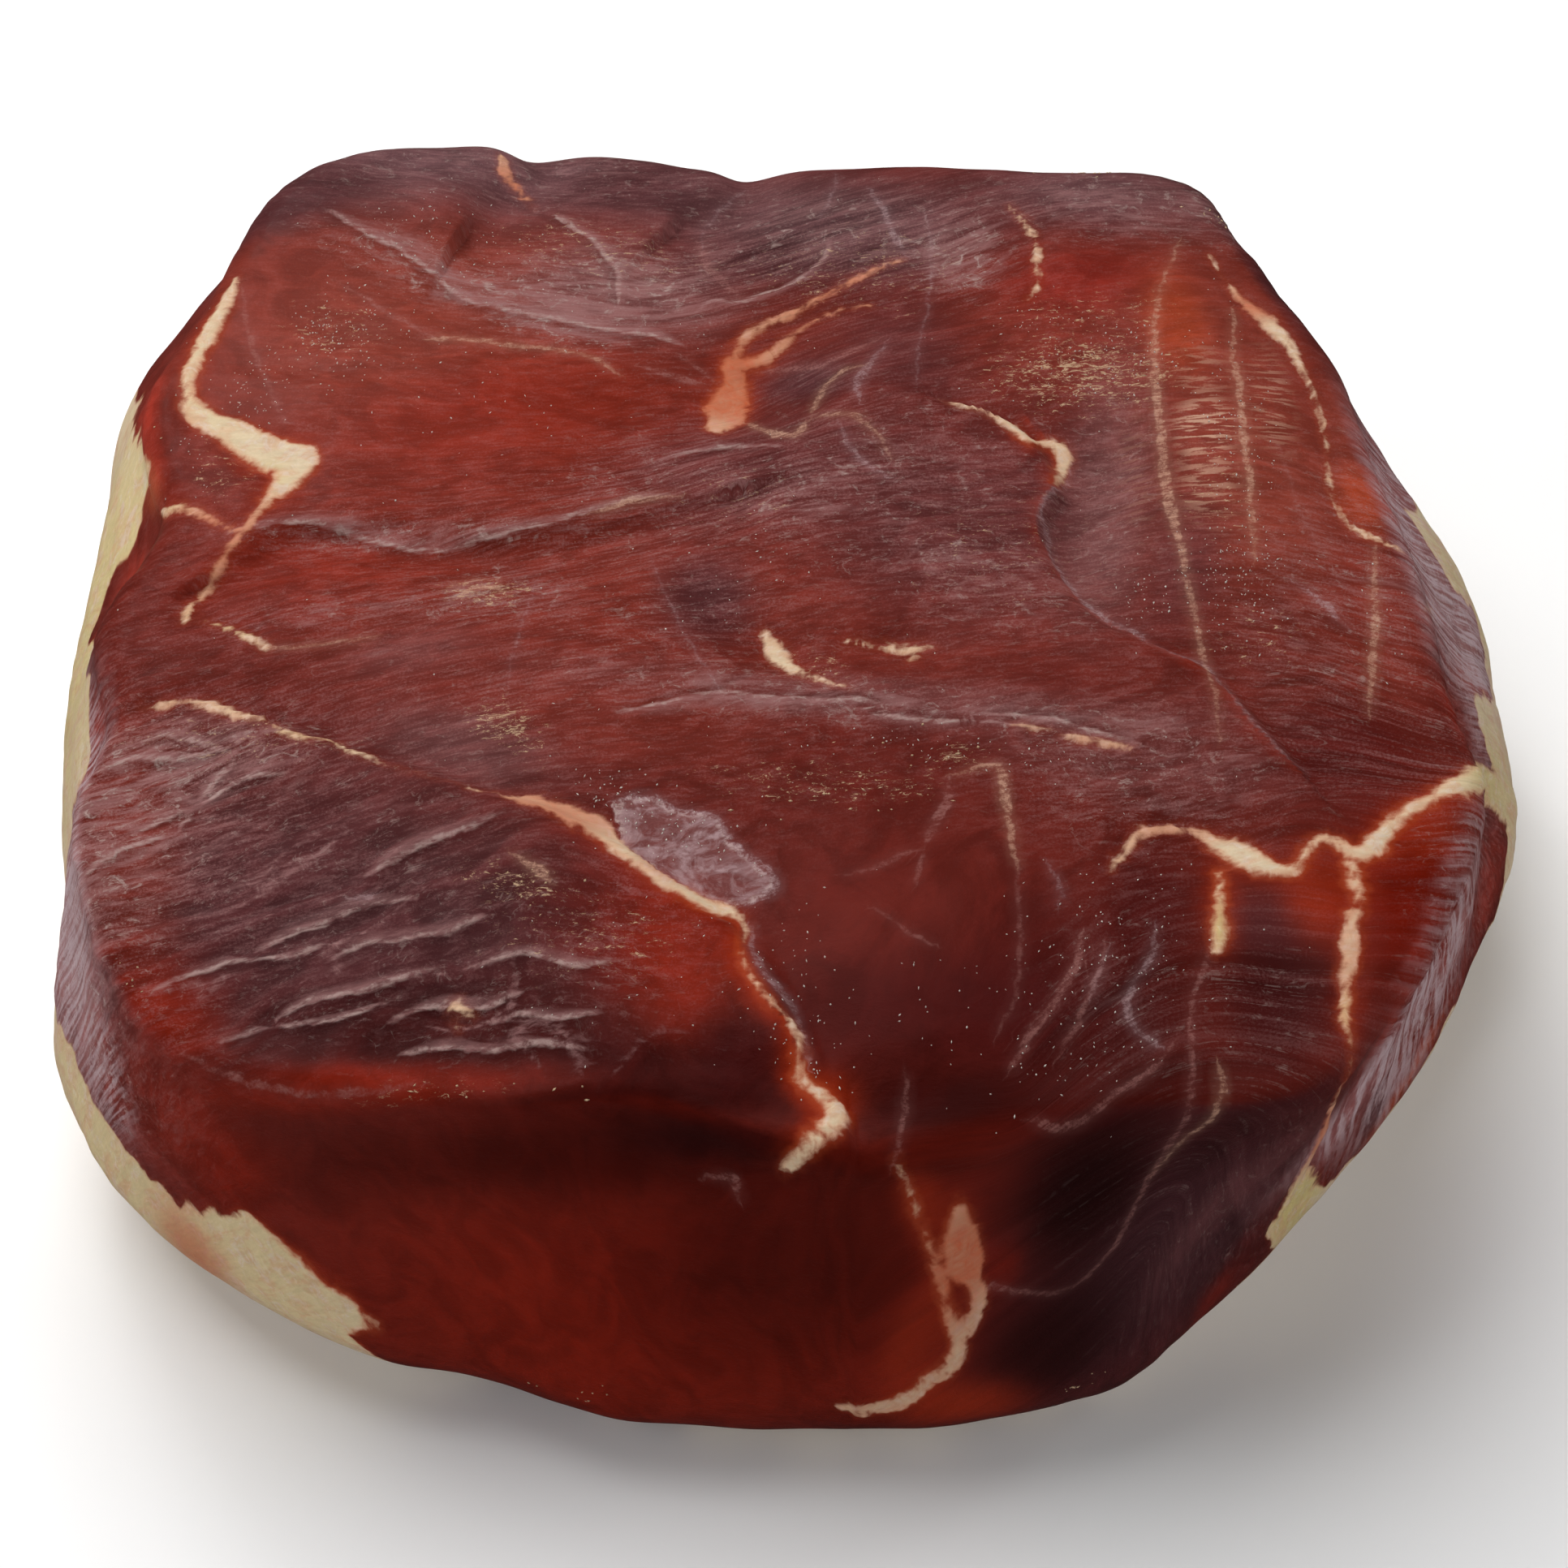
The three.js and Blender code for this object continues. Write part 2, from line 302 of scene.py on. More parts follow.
def border_walk(cells):
    """Rows and columns of the square grid's border, counterclockwise from its lower right corner."""
    up = np.arange(cells)
    full = np.full(cells, cells)
    none = np.zeros(cells, int)
    rows = np.concatenate([up, full, cells - up, none])
    columns = np.concatenate([full, cells - up, none, up])
    return rows, columns


def ham_grid():
    """Points in millimetres, places on the skin map, distance past the top's edge, and the faces."""
    axis = np.linspace(-1, 1, TOP_CELLS + 1)
    across, along = np.meshgrid(axis, axis)
    degrees = np.degrees(np.arctan2(along, across))
    ring = np.maximum(np.abs(across), np.abs(along))
    top = top_point(slices(degrees), 1 - ring)

    rows, columns = border_walk(TOP_CELLS)
    wall = slices(degrees[rows, columns])
    strip = [top[rows, columns]]
    for count, point in ((SHOULDER_ROWS, shoulder_point), (SIDE_ROWS, side_point),
                         (FOOT_ROWS, foot_point), (BASE_ROWS, base_point)):
        for share in np.linspace(1, 0, count + 1)[1:]:
            if point is base_point and share == 0:
                continue
            strip.append(point(wall, np.full(len(rows), share)))
    strip = np.array(strip)
    steps = np.linalg.norm(np.diff(strip, axis=0), axis=-1)
    rolled = np.concatenate([np.zeros((1, len(rows))), np.cumsum(steps, 0)])
    edge = strip[0, :, :2]
    strip_map = edge[None] + np.stack([wall["cos"] * rolled, wall["sin"] * rolled], -1)

    pole = np.array([[0.0, GIRTH["centre_y"], 0.0]])
    points = np.vstack([top.reshape(-1, 3), strip[1:].reshape(-1, 3), pole])
    places = np.vstack([top[..., :2].reshape(-1, 2), strip_map[1:].reshape(-1, 2), [[0.0, -260.0]]])

    index = np.arange((TOP_CELLS + 1) ** 2).reshape(TOP_CELLS + 1, TOP_CELLS + 1)
    top_quads = np.stack([index[:-1, :-1], index[:-1, 1:], index[1:, 1:], index[1:, :-1]], -1).reshape(-1, 4)
    turns = len(rows)
    below = index.size + np.arange((len(strip) - 1) * turns).reshape(-1, turns)
    ladder = np.vstack([index[rows, columns][None], below])
    after = np.roll(ladder, -1, axis=1)
    strip_quads = np.stack([ladder[:-1], ladder[1:], after[1:], after[:-1]], -1).reshape(-1, 4)
    last = np.full(turns, len(points) - 1)
    pole_faces = np.stack([ladder[-1], last, after[-1]], -1)
    wall_rows = np.zeros(len(points))
    wall_rows[index.size:-1] = np.repeat(np.arange(1, len(strip)), turns)
    wall_rows[-1] = len(strip)
    past_edge = np.zeros(len(points))
    past_edge[index.size:-1] = rolled[1:].ravel()
    past_edge[-1] = rolled[-1].max()
    return points, places, past_edge, np.vstack([top_quads, strip_quads]), pole_faces, wall_rows


points, places, past_edge, quads, pole_faces, wall_rows = ham_grid()
U, V = places.T
BASE_ROW = SHOULDER_ROWS + SIDE_ROWS + FOOT_ROWS
on_base = wall_rows >= BASE_ROW
print("skin:", len(points), "points,", len(quads) * 2 + len(pole_faces), "triangles")

# %% [markdown]
# ## Colours
# Cured lean meat is a deep brick red. Where it dries it turns purple-brown, and where salt and proteins come
# out it has a pale lilac bloom. Fat is cream, and yellow where it has met the air. All shades get a name
# here, as the bytes that a paint program would show. Blender works in linear light, so they are converted.

# %% Palette
# Some shades stand for painted light: two pale lilacs are a painted sheen on the side facets, and the pale veil and the
# wisp shade also give painted highlights on wrinkle crests and membrane folds.
SHADES = {
    "plain red": (98, 32, 25), "brick red": (124, 45, 34), "warm red": (138, 60, 47),
    "orange red": (132, 36, 19), "bright red": (128, 36, 27), "band red": (130, 50, 39),
    "deep red": (84, 21, 17), "dark red": (64, 16, 15), "wedge red": (102, 18, 5), "facet deep": (112, 24, 10), "crest dark": (50, 8, 6), "crest red": (132, 32, 14),
    "purple": (96, 47, 47), "dark purple": (78, 40, 42), "grey purple": (100, 68, 71),
    "haze purple": (116, 72, 71), "lilac": (150, 116, 119), "pale lilac": (186, 156, 158),
    "facet lilac sheen": (196, 166, 170), "facet purple": (150, 92, 92), "facet red": (160, 52, 38),
    "wall red": (124, 26, 9), "wall dark": (72, 13, 6), "wall black": (38, 10, 10), "wall purple": (66, 33, 37),
    "black red": (60, 17, 16), "glow": (156, 44, 16), "glow orange": (170, 66, 36), "pale veil and highlight": (158, 114, 112),
    "dust": (200, 168, 134), "wisp and highlight": (192, 168, 160), "facet_sheen": (200, 176, 180), "tendon": (190, 92, 58), "line pink": (164, 112, 106), "line tan": (202, 156, 132),
    "cream": (214, 204, 194), "fat cream": (220, 198, 166), "fat pink": (212, 150, 116), "fat edge": (176, 76, 42),
    "fat yellow": (208, 188, 126),
}


def linear(shade):
    """Bytes to linear light: the sRGB curve, whose dark end is straight and whose rest is a power of 2.4."""
    c = np.array(shade) / 255
    return np.where(c <= 0.04045, c / 12.92, ((c + 0.055) / 1.055) ** 2.4)


# The shades are what the lit top should show, so the paint is darker by as much as the light is over full.
TOP_LIGHT = 1.16
PAINT = {name: linear(shade) / TOP_LIGHT for name, shade in SHADES.items()}
print(len(PAINT), "shades")

# %% [markdown]
# ## Muscles and drying marks
# Each muscle is a soft oval of colour on the skin map, laid over the ones before it. A row is middle,
# half sizes, turn, shade, strength. The walls' ovals begin sharply at the cut edge of the top.

# %% Fields of colour
TOP_FIELDS = [
    # from the back to the front
    (-60, 60, 62, 66, 0, "brick red", 1.0), (-75, 78, 40, 30, -8, "warm red", 0.75),
    (-52, 53, 30, 17, 12, "orange red", 0.9), (-85, 14, 24, 13, 4, "orange red", 0.6),
    (-50, -2, 34, 16, 0, "brick red", 0.6), (-66, -6, 12, 5, 10, "haze purple", 0.4),
    (-60, 124, 64, 16, 0, "grey purple", 0.9), (-28, 119, 18, 9, 0, "dark purple", 0.9),
    (-96, 114, 20, 8, 30, "dark purple", 0.9), (-74, 126, 16, 5, -6, "grey purple", 0.6),
    (-30, 88, 22, 13, -10, "haze purple", 0.8), (10, 108, 34, 15, 0, "grey purple", 0.85),
    (-14, 96, 10, 8, 0, "dark purple", 0.7), (22, 100, 9, 7, 0, "dark purple", 0.5),
    (0, 20, 62, 34, -8, "brick red", 0.8), (-5, 42, 26, 16, 20, "purple", 0.8), (5, 67, 11, 7, 10, "dark purple", 0.9),
    (30, 28, 30, 26, -20, "purple", 0.8), (24, 74, 12, 14, 20, "purple", 0.7), (-14, 8, 9, 12, 0, "dark purple", 0.85),
    (56, 84, 24, 24, -6, "band red", 0.8), (60, 93, 18, 9, 8, "bright red", 0.9), (66, 108, 8, 5, 0, "deep red", 0.5),
    (70, 117, 32, 11, -8, "grey purple", 0.85), (60, 36, 9, 34, -8, "haze purple", 0.7), (50, 34, 5, 10, 0, "dark purple", 0.4),
    (86, 46, 18, 58, 6, "warm red", 0.8), (92, 34, 10, 26, 0, "warm red", 0.5), (76, 80, 6, 14, 4, "glow orange", 0.7),
    (107, 44, 5, 24, 4, "warm red", 0.7), (108, 33, 5, 8, 8, "glow orange", 0.8),
    (106, 0, 12, 22, 0, "band red", 0.85), (86, -6, 14, 22, -8, "plain red", 0.6), (74, 20, 7, 14, 0, "purple", 0.5),
    (98, -28, 14, 13, 0, "deep red", 0.9), (72, 12, 6, 14, -20, "purple", 0.4),
    (14, -17, 58, 6, -5, "haze purple", 0.5), (2, -30, 40, 12, -3, "plain red", 0.6),
    (62, -32, 26, 7, -10, "haze purple", 0.3), (-30, -20, 30, 12, -8, "brick red", 0.7),
    (-80, -52, 36, 28, 10, "purple", 0.8), (-88, -56, 24, 14, 16, "dark purple", 0.6),
    (-66, -72, 40, 22, 8, "dark purple", 0.9), (-60, -88, 34, 9, -2, "black red", 0.8), (-40, -84, 22, 10, -6, "black red", 0.5),
    (-112, -50, 8, 30, 8, "brick red", 0.8), (-56, -27, 16, 7, -20, "haze purple", 0.6),
    (-104, -84, 14, 9, -52, "crest red", 0.8), (-24, -66, 18, 14, -50, "facet deep", 0.6),
    (-17, -74, 10, 16, 10, "crest red", 0.9), (-8, -95, 9, 10, 0, "dark red", 0.9), (-26, -95, 14, 7, -10, "black red", 0.8),
    (22, -60, 30, 24, 0, "plain red", 0.9), (26, -86, 32, 13, 0, "dark red", 0.8),
    (46, -80, 18, 20, 10, "dark red", 0.7), (62, -64, 9, 15, 0, "dark red", 0.8), (60, -86, 10, 12, 0, "black red", 0.6),
    (82, -82, 11, 18, -6, "black red", 1.0), (81, -66, 7, 6, -6, "dark purple", 0.5), (91, -61, 6, 8, 0, "glow", 0.6),
    (106, -60, 11, 18, -10, "wedge red", 1.0), (112, -46, 8, 7, 20, "glow", 0.5), (-2, 100, 9, 6, -8, "dark purple", 0.9),
    # just inside the front edge
    (-76, -99, 34, 4, 2, "crest red", 0.9), (-22, -102, 28, 4, 4, "crest dark", 0.8), (24, -101, 24, 6, 0, "crest dark", 0.9),
    (60, -99, 16, 6, 10, "crest dark", 0.7), (8, -100, 5, 5, 0, "glow", 0.5),
]
WALL_FIELDS = [
    # the front, rolled out
    (-20, -142, 96, 40, 2, "wall red", 1.0), (0, -134, 34, 28, 0, "wall dark", 0.85),
    (-30, -112, 60, 9, 3, "wall dark", 0.9), (-14, -108, 18, 5, 0, "wall black", 0.8),
    (76, -134, 32, 42, 0, "wall purple", 1.0), (54, -118, 15, 17, 0, "wall black", 1.0),
    (60, -152, 20, 18, 0, "wall black", 0.85), (106, -134, 26, 28, -30, "wall purple", 0.9),
    (92, -124, 7, 20, -30, "facet purple", 0.2), (76, -110, 6, 9, 0, "wall black", 0.5),
    (25, -120, 4, 8, 30, "glow", 0.45), (28, -152, 6, 14, -10, "glow", 0.5), (44, -169, 16, 8, 0, "glow", 0.7),
    (43, -134, 4, 5, 0, "wall red", 0.5), (122, -140, 9, 18, 20, "deep red", 0.7), (118, -154, 8, 8, 0, "wall red", 0.6),
    # the left facet, with a painted lilac sheen
    (-142, -58, 34, 40, 0, "facet purple", 1.0), (-140, -56, 16, 30, 0, "facet lilac sheen", 0.3),
    (-150, -22, 24, 12, -40, "facet purple", 0.8),
    (-138, -30, 26, 8, -36, "facet deep", 0.95), (-134, -16, 10, 6, 0, "facet red", 0.6),
    (-124, -100, 24, 18, -20, "crest red", 0.8), (-112, -114, 16, 8, 20, "wall red", 0.9),
    (-140, -80, 12, 5, -10, "facet red", 0.5), (-143, -91, 8, 4, -20, "facet red", 0.6),
    (-122, 58, 6, 22, 20, "facet red", 0.9), (-130, 26, 9, 7, -50, "facet red", 0.7),
    (-138, 16, 12, 4, -52, "facet red", 0.8), (-122, 42, 3, 7, 30, "tendon", 0.6), (-146, -2, 12, 10, -40, "facet lilac sheen", 0.6),
    # the right facet
    (136, 36, 28, 44, 0, "facet purple", 1.0), (108, 100, 18, 22, -40, "wall purple", 0.9),
    (115, 44, 5, 16, 6, "facet red", 0.7), (128, -12, 18, 9, 44, "crest red", 0.95),
    (141, 12, 12, 5, 42, "facet red", 0.7), (140, -26, 10, 4, 40, "glow orange", 0.7),
    (142, -66, 36, 44, 0, "crest red", 1.0), (126, -96, 12, 30, -24, "facet purple", 0.8), (150, -50, 14, 6, 36, "facet red", 0.3),
    (150, -96, 14, 8, 0, "grey purple", 0.8), (166, -22, 9, 14, 0, "facet red", 0.6),
    (167, -80, 4, 22, -16, "tendon", 0.5), (108, -80, 5, 12, 0, "facet red", 0.4),
    # the back, drawn as the sides are
    (0, 160, 96, 26, 0, "purple", 1.0), (-110, 128, 24, 18, 40, "dark purple", 0.8),
    (96, 130, 30, 20, -40, "wall purple", 0.9), (-30, 156, 34, 10, 4, "facet red", 0.6), (56, 158, 24, 9, -8, "facet red", 0.5),
]


def oval(middle_x, middle_y, half_along, half_across, turn, flat=1.5):
    """A soft oval on the skin map: e to the minus (its squared radius to the power of flat)."""
    a = np.radians(turn)
    along = ((U - middle_x) * np.cos(a) + (V - middle_y) * np.sin(a)) / half_along
    across = ((V - middle_y) * np.cos(a) - (U - middle_x) * np.sin(a)) / half_across
    return np.exp(-np.power(along ** 2 + across ** 2, flat))


def paint_fields(tone, rows, where=1.0):
    """Lays each oval of shade over the last: tone = tone + (shade - tone) * strength * oval."""
    for *form, shade, strength in rows:
        share = (strength * where * oval(*form))[:, None]
        tone = tone + (PAINT[shade] - tone) * share
    return tone


# The walls' shades start a few millimetres past the top's edge, within a step 2 mm wide.
EDGE_START = 2.2
EDGE_STEP = 2.0
on_wall = ease((past_edge - EDGE_START) / EDGE_STEP)
tone = paint_fields(np.tile(PAINT["plain red"], (len(U), 1)), TOP_FIELDS)
tone = paint_fields(tone, WALL_FIELDS, on_wall)
print(len(TOP_FIELDS) + len(WALL_FIELDS), "fields; mean colour", tone.mean(0).round(3))

# %% [markdown]
# ## The run of the fibres
# Muscle fibres comb the surface: streaks, bloom and drying wrinkles follow them. A few listed directions
# (x, y, degrees) are spread over the map, and then two scalar fields are fitted whose slopes point
# along and across the fibres. Noise read on those two fields runs as the meat does. The fit is a large but
# plain least-squares problem, solved by a few dozen rounds of conjugate gradients.

# %% Fibre directions
FIBRES = [
    (-100, 110, -8), (-100, 90, -6), (-60, 125, -8), (-20, 120, 0), (-70, 100, -26), (-40, 85, -18), (-100, 70, -4),
    (-70, 72, 0), (-60, 50, 22), (-35, 60, 42), (-90, 45, 14), (-80, 33, 10), (-50, 25, 14), (-20, 38, 24),
    (-85, 10, 4), (-50, 5, 8), (-20, 5, 0), (-110, 55, 10), (-110, 20, 14), (-105, -5, 16), (-70, -15, 5),
    (-30, -25, -8), (-105, -35, 18), (-100, -60, 20), (-80, -45, 24), (-60, -60, 24), (-90, -70, 14),
    (-50, -85, -4), (-20, -90, -20), (-15, -72, -8), (-30, -60, -30), (0, -25, -4), (20, 0, 0), (25, 35, -8),
    (40, 20, -14), (40, -20, -8), (60, -30, -10), (30, -40, -2), (10, -60, -8), (30, -70, -10), (20, -90, -14),
    (50, -88, 62), (42, -58, -14), (60, -50, -12), (68, -76, 76), (80, -80, 80), (84, -95, 76), (92, -60, 70), (108, -60, 60),
    (60, 40, 4), (56, 70, 0), (62, 94, 4), (40, 96, 40), (74, 60, -4), (92, 50, -8), (92, 20, -12), (84, -10, -30),
    (100, -20, -36), (110, 10, -20), (110, 60, -10), (104, 35, -20), (70, 114, -6), (10, 90, 34), (15, 110, 14),
    (-5, 64, 50),
    (-140, -30, -38), (-150, 20, -60), (-135, -75, -4), (-140, -100, -12), (-115, -115, 16), (-60, -140, 0),
    (0, -140, 0), (30, -140, 80), (60, -130, 84), (90, -130, -58), (115, -130, -48), (130, -105, -14),
    (140, -75, 2), (140, -50, 20), (140, -10, 44), (135, 35, 48), (130, 65, 56), (0, 160, 80), (-100, 140, -50),
    (90, 140, 60),
]
MAP_CELL = 2.0
MAP_HALF = 240.0


def slopes(field):
    """Steps from each cell to the next, across and up, and none past the far edge."""
    across = np.zeros_like(field)
    up = np.zeros_like(field)
    across[:, :-1] = np.diff(field, axis=1)
    up[:-1] = np.diff(field, axis=0)
    return across, up


def gather(across, up):
    """The transpose of slopes: what flows into each cell minus what flows out of it."""
    total = np.zeros_like(across)
    total[:, :-1] -= across[:, :-1]
    total[:, 1:] += across[:, :-1]
    total[:-1] -= up[:-1]
    total[1:] += up[:-1]
    return total


def even_out(source):
    """Solves gather(slopes(field)) = source by Fourier transform of the mirrored grid."""
    side = len(source)
    mirrored = np.block([[source, source[:, ::-1]], [source[::-1], source[::-1, ::-1]]])
    bend = 2 - 2 * np.cos(2 * np.pi * np.fft.fftfreq(2 * side))
    square = bend[:, None] + bend[None]
    square[0, 0] = 1
    return np.fft.ifft2(np.fft.fft2(mirrored) / square).real[:side, :side]


def follow(main, slack=0.15, rounds=50):
    """A field whose slope points along main, a grid of unit vectors kept as complex numbers.

    It makes least (slope across main) squared + slack * (slope along main - 1) squared, by conjugate
    gradients helped by even_out.
    """
    def pull(field):
        x, y = slopes(field)
        along = (x * main.real + y * main.imag) * slack
        off = y * main.real - x * main.imag
        return gather(along * main.real - off * main.imag, along * main.imag + off * main.real)

    rest = gather(main.real * slack, main.imag * slack)
    field = np.zeros_like(rest)
    helped = even_out(rest)
    step = helped.copy()
    size = np.sum(rest * helped)
    for _ in range(rounds):
        pulled = pull(step)
        length = size / np.sum(step * pulled)
        field += length * step
        rest -= length * pulled
        helped = even_out(rest)
        new_size = np.sum(rest * helped)
        step = helped + step * new_size / size
        size = new_size
    return field * MAP_CELL


def comb_fibres(rows):
    """Fields along and across the fibres, in millimetres, on a square grid of the skin map.

    Directions are averaged as doubled angles, weighted by 1 / (distance to the third power).
    """
    axis = np.arange(-MAP_HALF, MAP_HALF, MAP_CELL)
    x, y = np.meshgrid(axis, axis)
    double = np.zeros_like(x, complex)
    for place_x, place_y, degrees in rows:
        weight = 1 / (np.hypot(x - place_x, y - place_y) + 4) ** 3
        double += weight * np.exp(2j * np.radians(degrees))
    heading = np.exp(1j * np.angle(double) / 2)
    heading *= np.where((heading * np.exp(-1j * np.radians(15))).real < 0, -1, 1)
    return axis, (follow(heading), follow(heading * 1j))


def read_map(axis, field, x, y):
    """Bilinear reading of a square map: the four nearest cells, weighted by nearness."""
    column = np.clip((x - axis[0]) / MAP_CELL, 0, len(axis) - 1.001)
    row = np.clip((y - axis[0]) / MAP_CELL, 0, len(axis) - 1.001)
    i, j = row.astype(int), column.astype(int)
    a, b = row - i, column - j
    return ((field[i, j] * (1 - b) + field[i, j + 1] * b) * (1 - a)
            + (field[i + 1, j] * (1 - b) + field[i + 1, j + 1] * b) * a)


map_axis, (field_along, field_across) = comb_fibres(FIBRES)
ALONG = read_map(map_axis, field_along, U, V)
ACROSS = read_map(map_axis, field_across, U, V)
print("fibre fields span", np.ptp(ALONG).round(), "by", np.ptp(ACROSS).round(), "mm")

# %% [markdown]
# ## Fat
# Seams of fat run where one muscle meets the next. A seam's points carry its half width too. The fat cap is
# everything outside one closed line round the walls. Both give a margin in millimetres, positive inside the
# fat, and the material turns that margin into a crisp, slightly ragged edge.

# %% Seams and the fat cap
SEAMS = {
    "left seam": [(-107.5, 92.7, .6), (-109.3, 85.4, 1.7), (-111.8, 77.3, 2), (-114.1, 67.8, 1.4),
                  (-113.8, 61.6, 1.2), (-111.4, 56.2, 2.3), (-104.6, 50.5, 3.2), (-97.6, 44.5, 4), (-91.8, 42, 4.4),
                  (-92.5, 37.3, 2.8), (-94.9, 32.8, 1.3), (-97, 28.4, .8), (-98.9, 24.1, .7), (-102.3, 18.3, .7),
                  (-105.1, 11.2, .6), (-107.7, 5.8, .6), (-108.2, 2.8, .5)],
    "left twig": [(-118, 33, .5), (-115.5, 32.1, .9), (-111.1, 30.6, .8), (-106.6, 27.7, .5), (-100.9, 23.3, .4)],
    "left foot": [(-105.1, 2.8, .3), (-100.8, .7, .7), (-97, -1.7, .8), (-92.7, -4.7, .3)],
    "front strand": [(-113.7, -17.4, .1), (-111.6, -17.8, .7), (-109.2, -17, .5), (-106.7, -16.5, .1),
                     (-103.9, -17, .5), (-101, -17.8, 1), (-97.3, -19.7, 1.1), (-94.2, -21, .6), (-91.1, -22.3, .2),
                     (-88.4, -24.5, .6), (-85.3, -25.5, .9), (-81.8, -25.8, .3), (-79.2, -26.3, .5),
                     (-76.5, -28.9, .9), (-74, -30, 1), (-71.4, -31, .1), (-68.3, -32.6, 0), (-63.8, -33.9, 0),
                     (-58.8, -35.2, -.2), (-54.2, -36.5, -.2), (-50.4, -36.8, .1), (-45.8, -38.4, 1.8),
                     (-40.8, -40.3, 2.5), (-35.7, -42.9, 2.8), (-31.2, -46.3, 2.4)],
    "front seam": [(-31.2, -46.3, 2.4), (-28.7, -49.3, 2), (-25, -53.3, 1.5), (-21.4, -57.6, 1.6),
                   (-16.9, -59.8, 1.7), (-12.5, -62.1, 1.7), (-8.5, -63.6, 1.3), (-7, -65.6, .7), (-6.9, -69, .3),
                   (-7.1, -73.4, .3), (-5.5, -78.8, .3), (-1.9, -84.4, .35), (1.1, -87.9, .5), (2.4, -92.6, .5),
                   (3, -97, .6), (7, -101, 1.4), (8.5, -104, 1.7), (6, -107, 1.6), (3, -110, 1.5), (1, -113, 1.6),
                   (0, -115, .4)],
    "right seam": [(30.3, 60.7, .1), (33, 58, .5), (37.6, 56.7, .6), (40.8, 54.5, 1.1), (43.9, 51.9, 1.6),
                   (46.5, 48.6, 1.4), (48.1, 49.8, .8), (51.8, 49, 1.2), (53, 46.3, 1.3), (52.1, 41.7, 1.1),
                   (51.1, 37.9, .3)],
        "right front seam": [(55.9, -55.4, .1), (58.2, -51.2, .5), (61, -47.2, .7), (64.4, -45.9, .7),
                         (68.2, -46.1, .7), (71.9, -47.4, .9), (74, -49.5, 1.6), (77, -51.2, 2.4),
                         (80.2, -53.3, 2.4), (83.4, -54.9, 1.6), (86.6, -55.4, .9), (89.5, -51.2, .7),
                         (91.8, -48.7, .8), (94, -48.5, 1), (97, -51.2, 1.5), (99.5, -51.2, 1.8),
                         (102.3, -48.5, 1.8), (105.3, -44.1, 1.3), (108.9, -41.4, 1.2), (112.6, -38.7, 1.2),
                         (116.3, -36.5, 1.8), (119.5, -35, 2.6), (125, -31, 2.8), (132, -25, 3.2),
                         (140, -17, 3.8), (150, -9, 4), (158, -4, 4), (172, 4, 6)],
    "olive streak": [(74.1, -55, .1), (74.1, -58.3, .8), (73.8, -62.3, .9), (73.4, -66.5, 1.2), (73.2, -70.1, 1.1),
                     (72.1, -72.9, .2)],
    "right branch": [(96.8, -53.8, 1.3), (97.2, -58.1, 1.3), (97.2, -62.3, 1.2), (95.9, -66.5, 1.4),
                     (95.1, -70.6, 1.6), (94.7, -74.7, 1.2), (93.8, -77.8, .9), (93.4, -81.8, .9),
                     (92.8, -85.8, .7), (93.3, -88.8, .3), (94, -94, .3), (96, -100, .3), (104, -105, .8),
                     (113, -111, 1.8), (120, -118, 2.4), (126, -126, 2.4), (129, -134, 1.4)],
    "band seam": [(84, 99.9, -.1), (87.2, 91.5, .2), (90.5, 84.7, 1.1), (93.9, 80.3, 1.8), (96.8, 75.9, 1.1),
                  (98.7, 70.8, .7), (100.5, 64, .5), (101.7, 57.4, .45), (102.3, 49.5, .4), (101.8, 41.7, .35),
                  (101.9, 34.7, .35), (104.1, 27.6, .4), (108.5, 23.8, .6), (113.5, 21, .4)],
        "stretched fat": [(-3.5, .2, .6), (-2, -3, 1.7), (-.2, -6.5, 1.8), (3.1, -9.2, .9), (7.2, -11.7, .4),
                      (11.8, -13.9, .1)],
    "white splash": [(11, -1.7, -.1), (15.7, -2.3, .2), (19.4, -2.7, .6), (22.2, -2.7, .9), (25, -2.3, .3),
                     (26.9, -2, -.1)],
    "splash ray": [(18.5, -1.1, -.1), (21.3, -2.3, .4), (23.6, -4.2, .5), (22.2, -5.5, -.1)],
    "white chip": [(-55.9, -84.1, .3), (-54, -83.7, 1.1), (-51.6, -85.5, .4)],
    "chip below": [(-54.7, -85.5, .1), (-53.8, -87.2, .5)],
        "front wall seam": [(18, -110, .1), (22, -118, .15), (25, -125, .3), (28, -130, .6), (31, -136, 1.1),
                        (33, -141, 1), (35, -146, 1.3), (38, -150, 1.8), (38, -157, 2), (34, -161, 1.7),
                        (31, -166, 1.7), (27, -169, 2.2), (20, -171, 2.2), (14, -172, 1)],
    "front wall patch": [(31, -119, .3), (32, -124, 2.2), (33.5, -129, 4), (35, -133, 3.6), (38.5, -137.5, 2),
                         (40.5, -142, 1.6), (39.5, -147, 1.6), (38, -151, 1.5)],
    "tendon stub": [(-10.2, 70.8, 1.6), (-9.6, 66.7, 2.6), (-10.5, 62, 3.2), (-11.2, 58, 3.8), (-12.3, 54.5, 2.4)],
    "tendon strand": [(-10.2, 71.5, 1), (-7.4, 78.3, .9), (-4.1, 80.6, .8), (.6, 83.8, .8), (7.3, 88.6, .6),
                      (13.1, 92.9, .4), (18.9, 97.1, .2), (23.7, 99.7, -.2)],
    "tendon strand two": [(-9.2, 71.4, 1.2), (-5, 72.8, 1.3), (-1.3, 75.9, .9), (2.5, 80, .4), (9.2, 84.5, .3),
                          (16.8, 86.6, .2)],
        "cream fold": [(40.1, -22.5, 0), (46.5, -23.9, .4), (51, -25.4, .7), (56.4, -26.6, .5), (61.7, -28.1, .1)],
    "top tendon": [(45, 114, .1), (48, 109, .5), (50, 103, .6), (50, 97, .6), (50, 92, .4), (48, 88, .1)],
    "back streak": [(-57, 127, .4), (-56, 122, 1.1), (-53, 118, .7), (-50, 113, .2)],
}
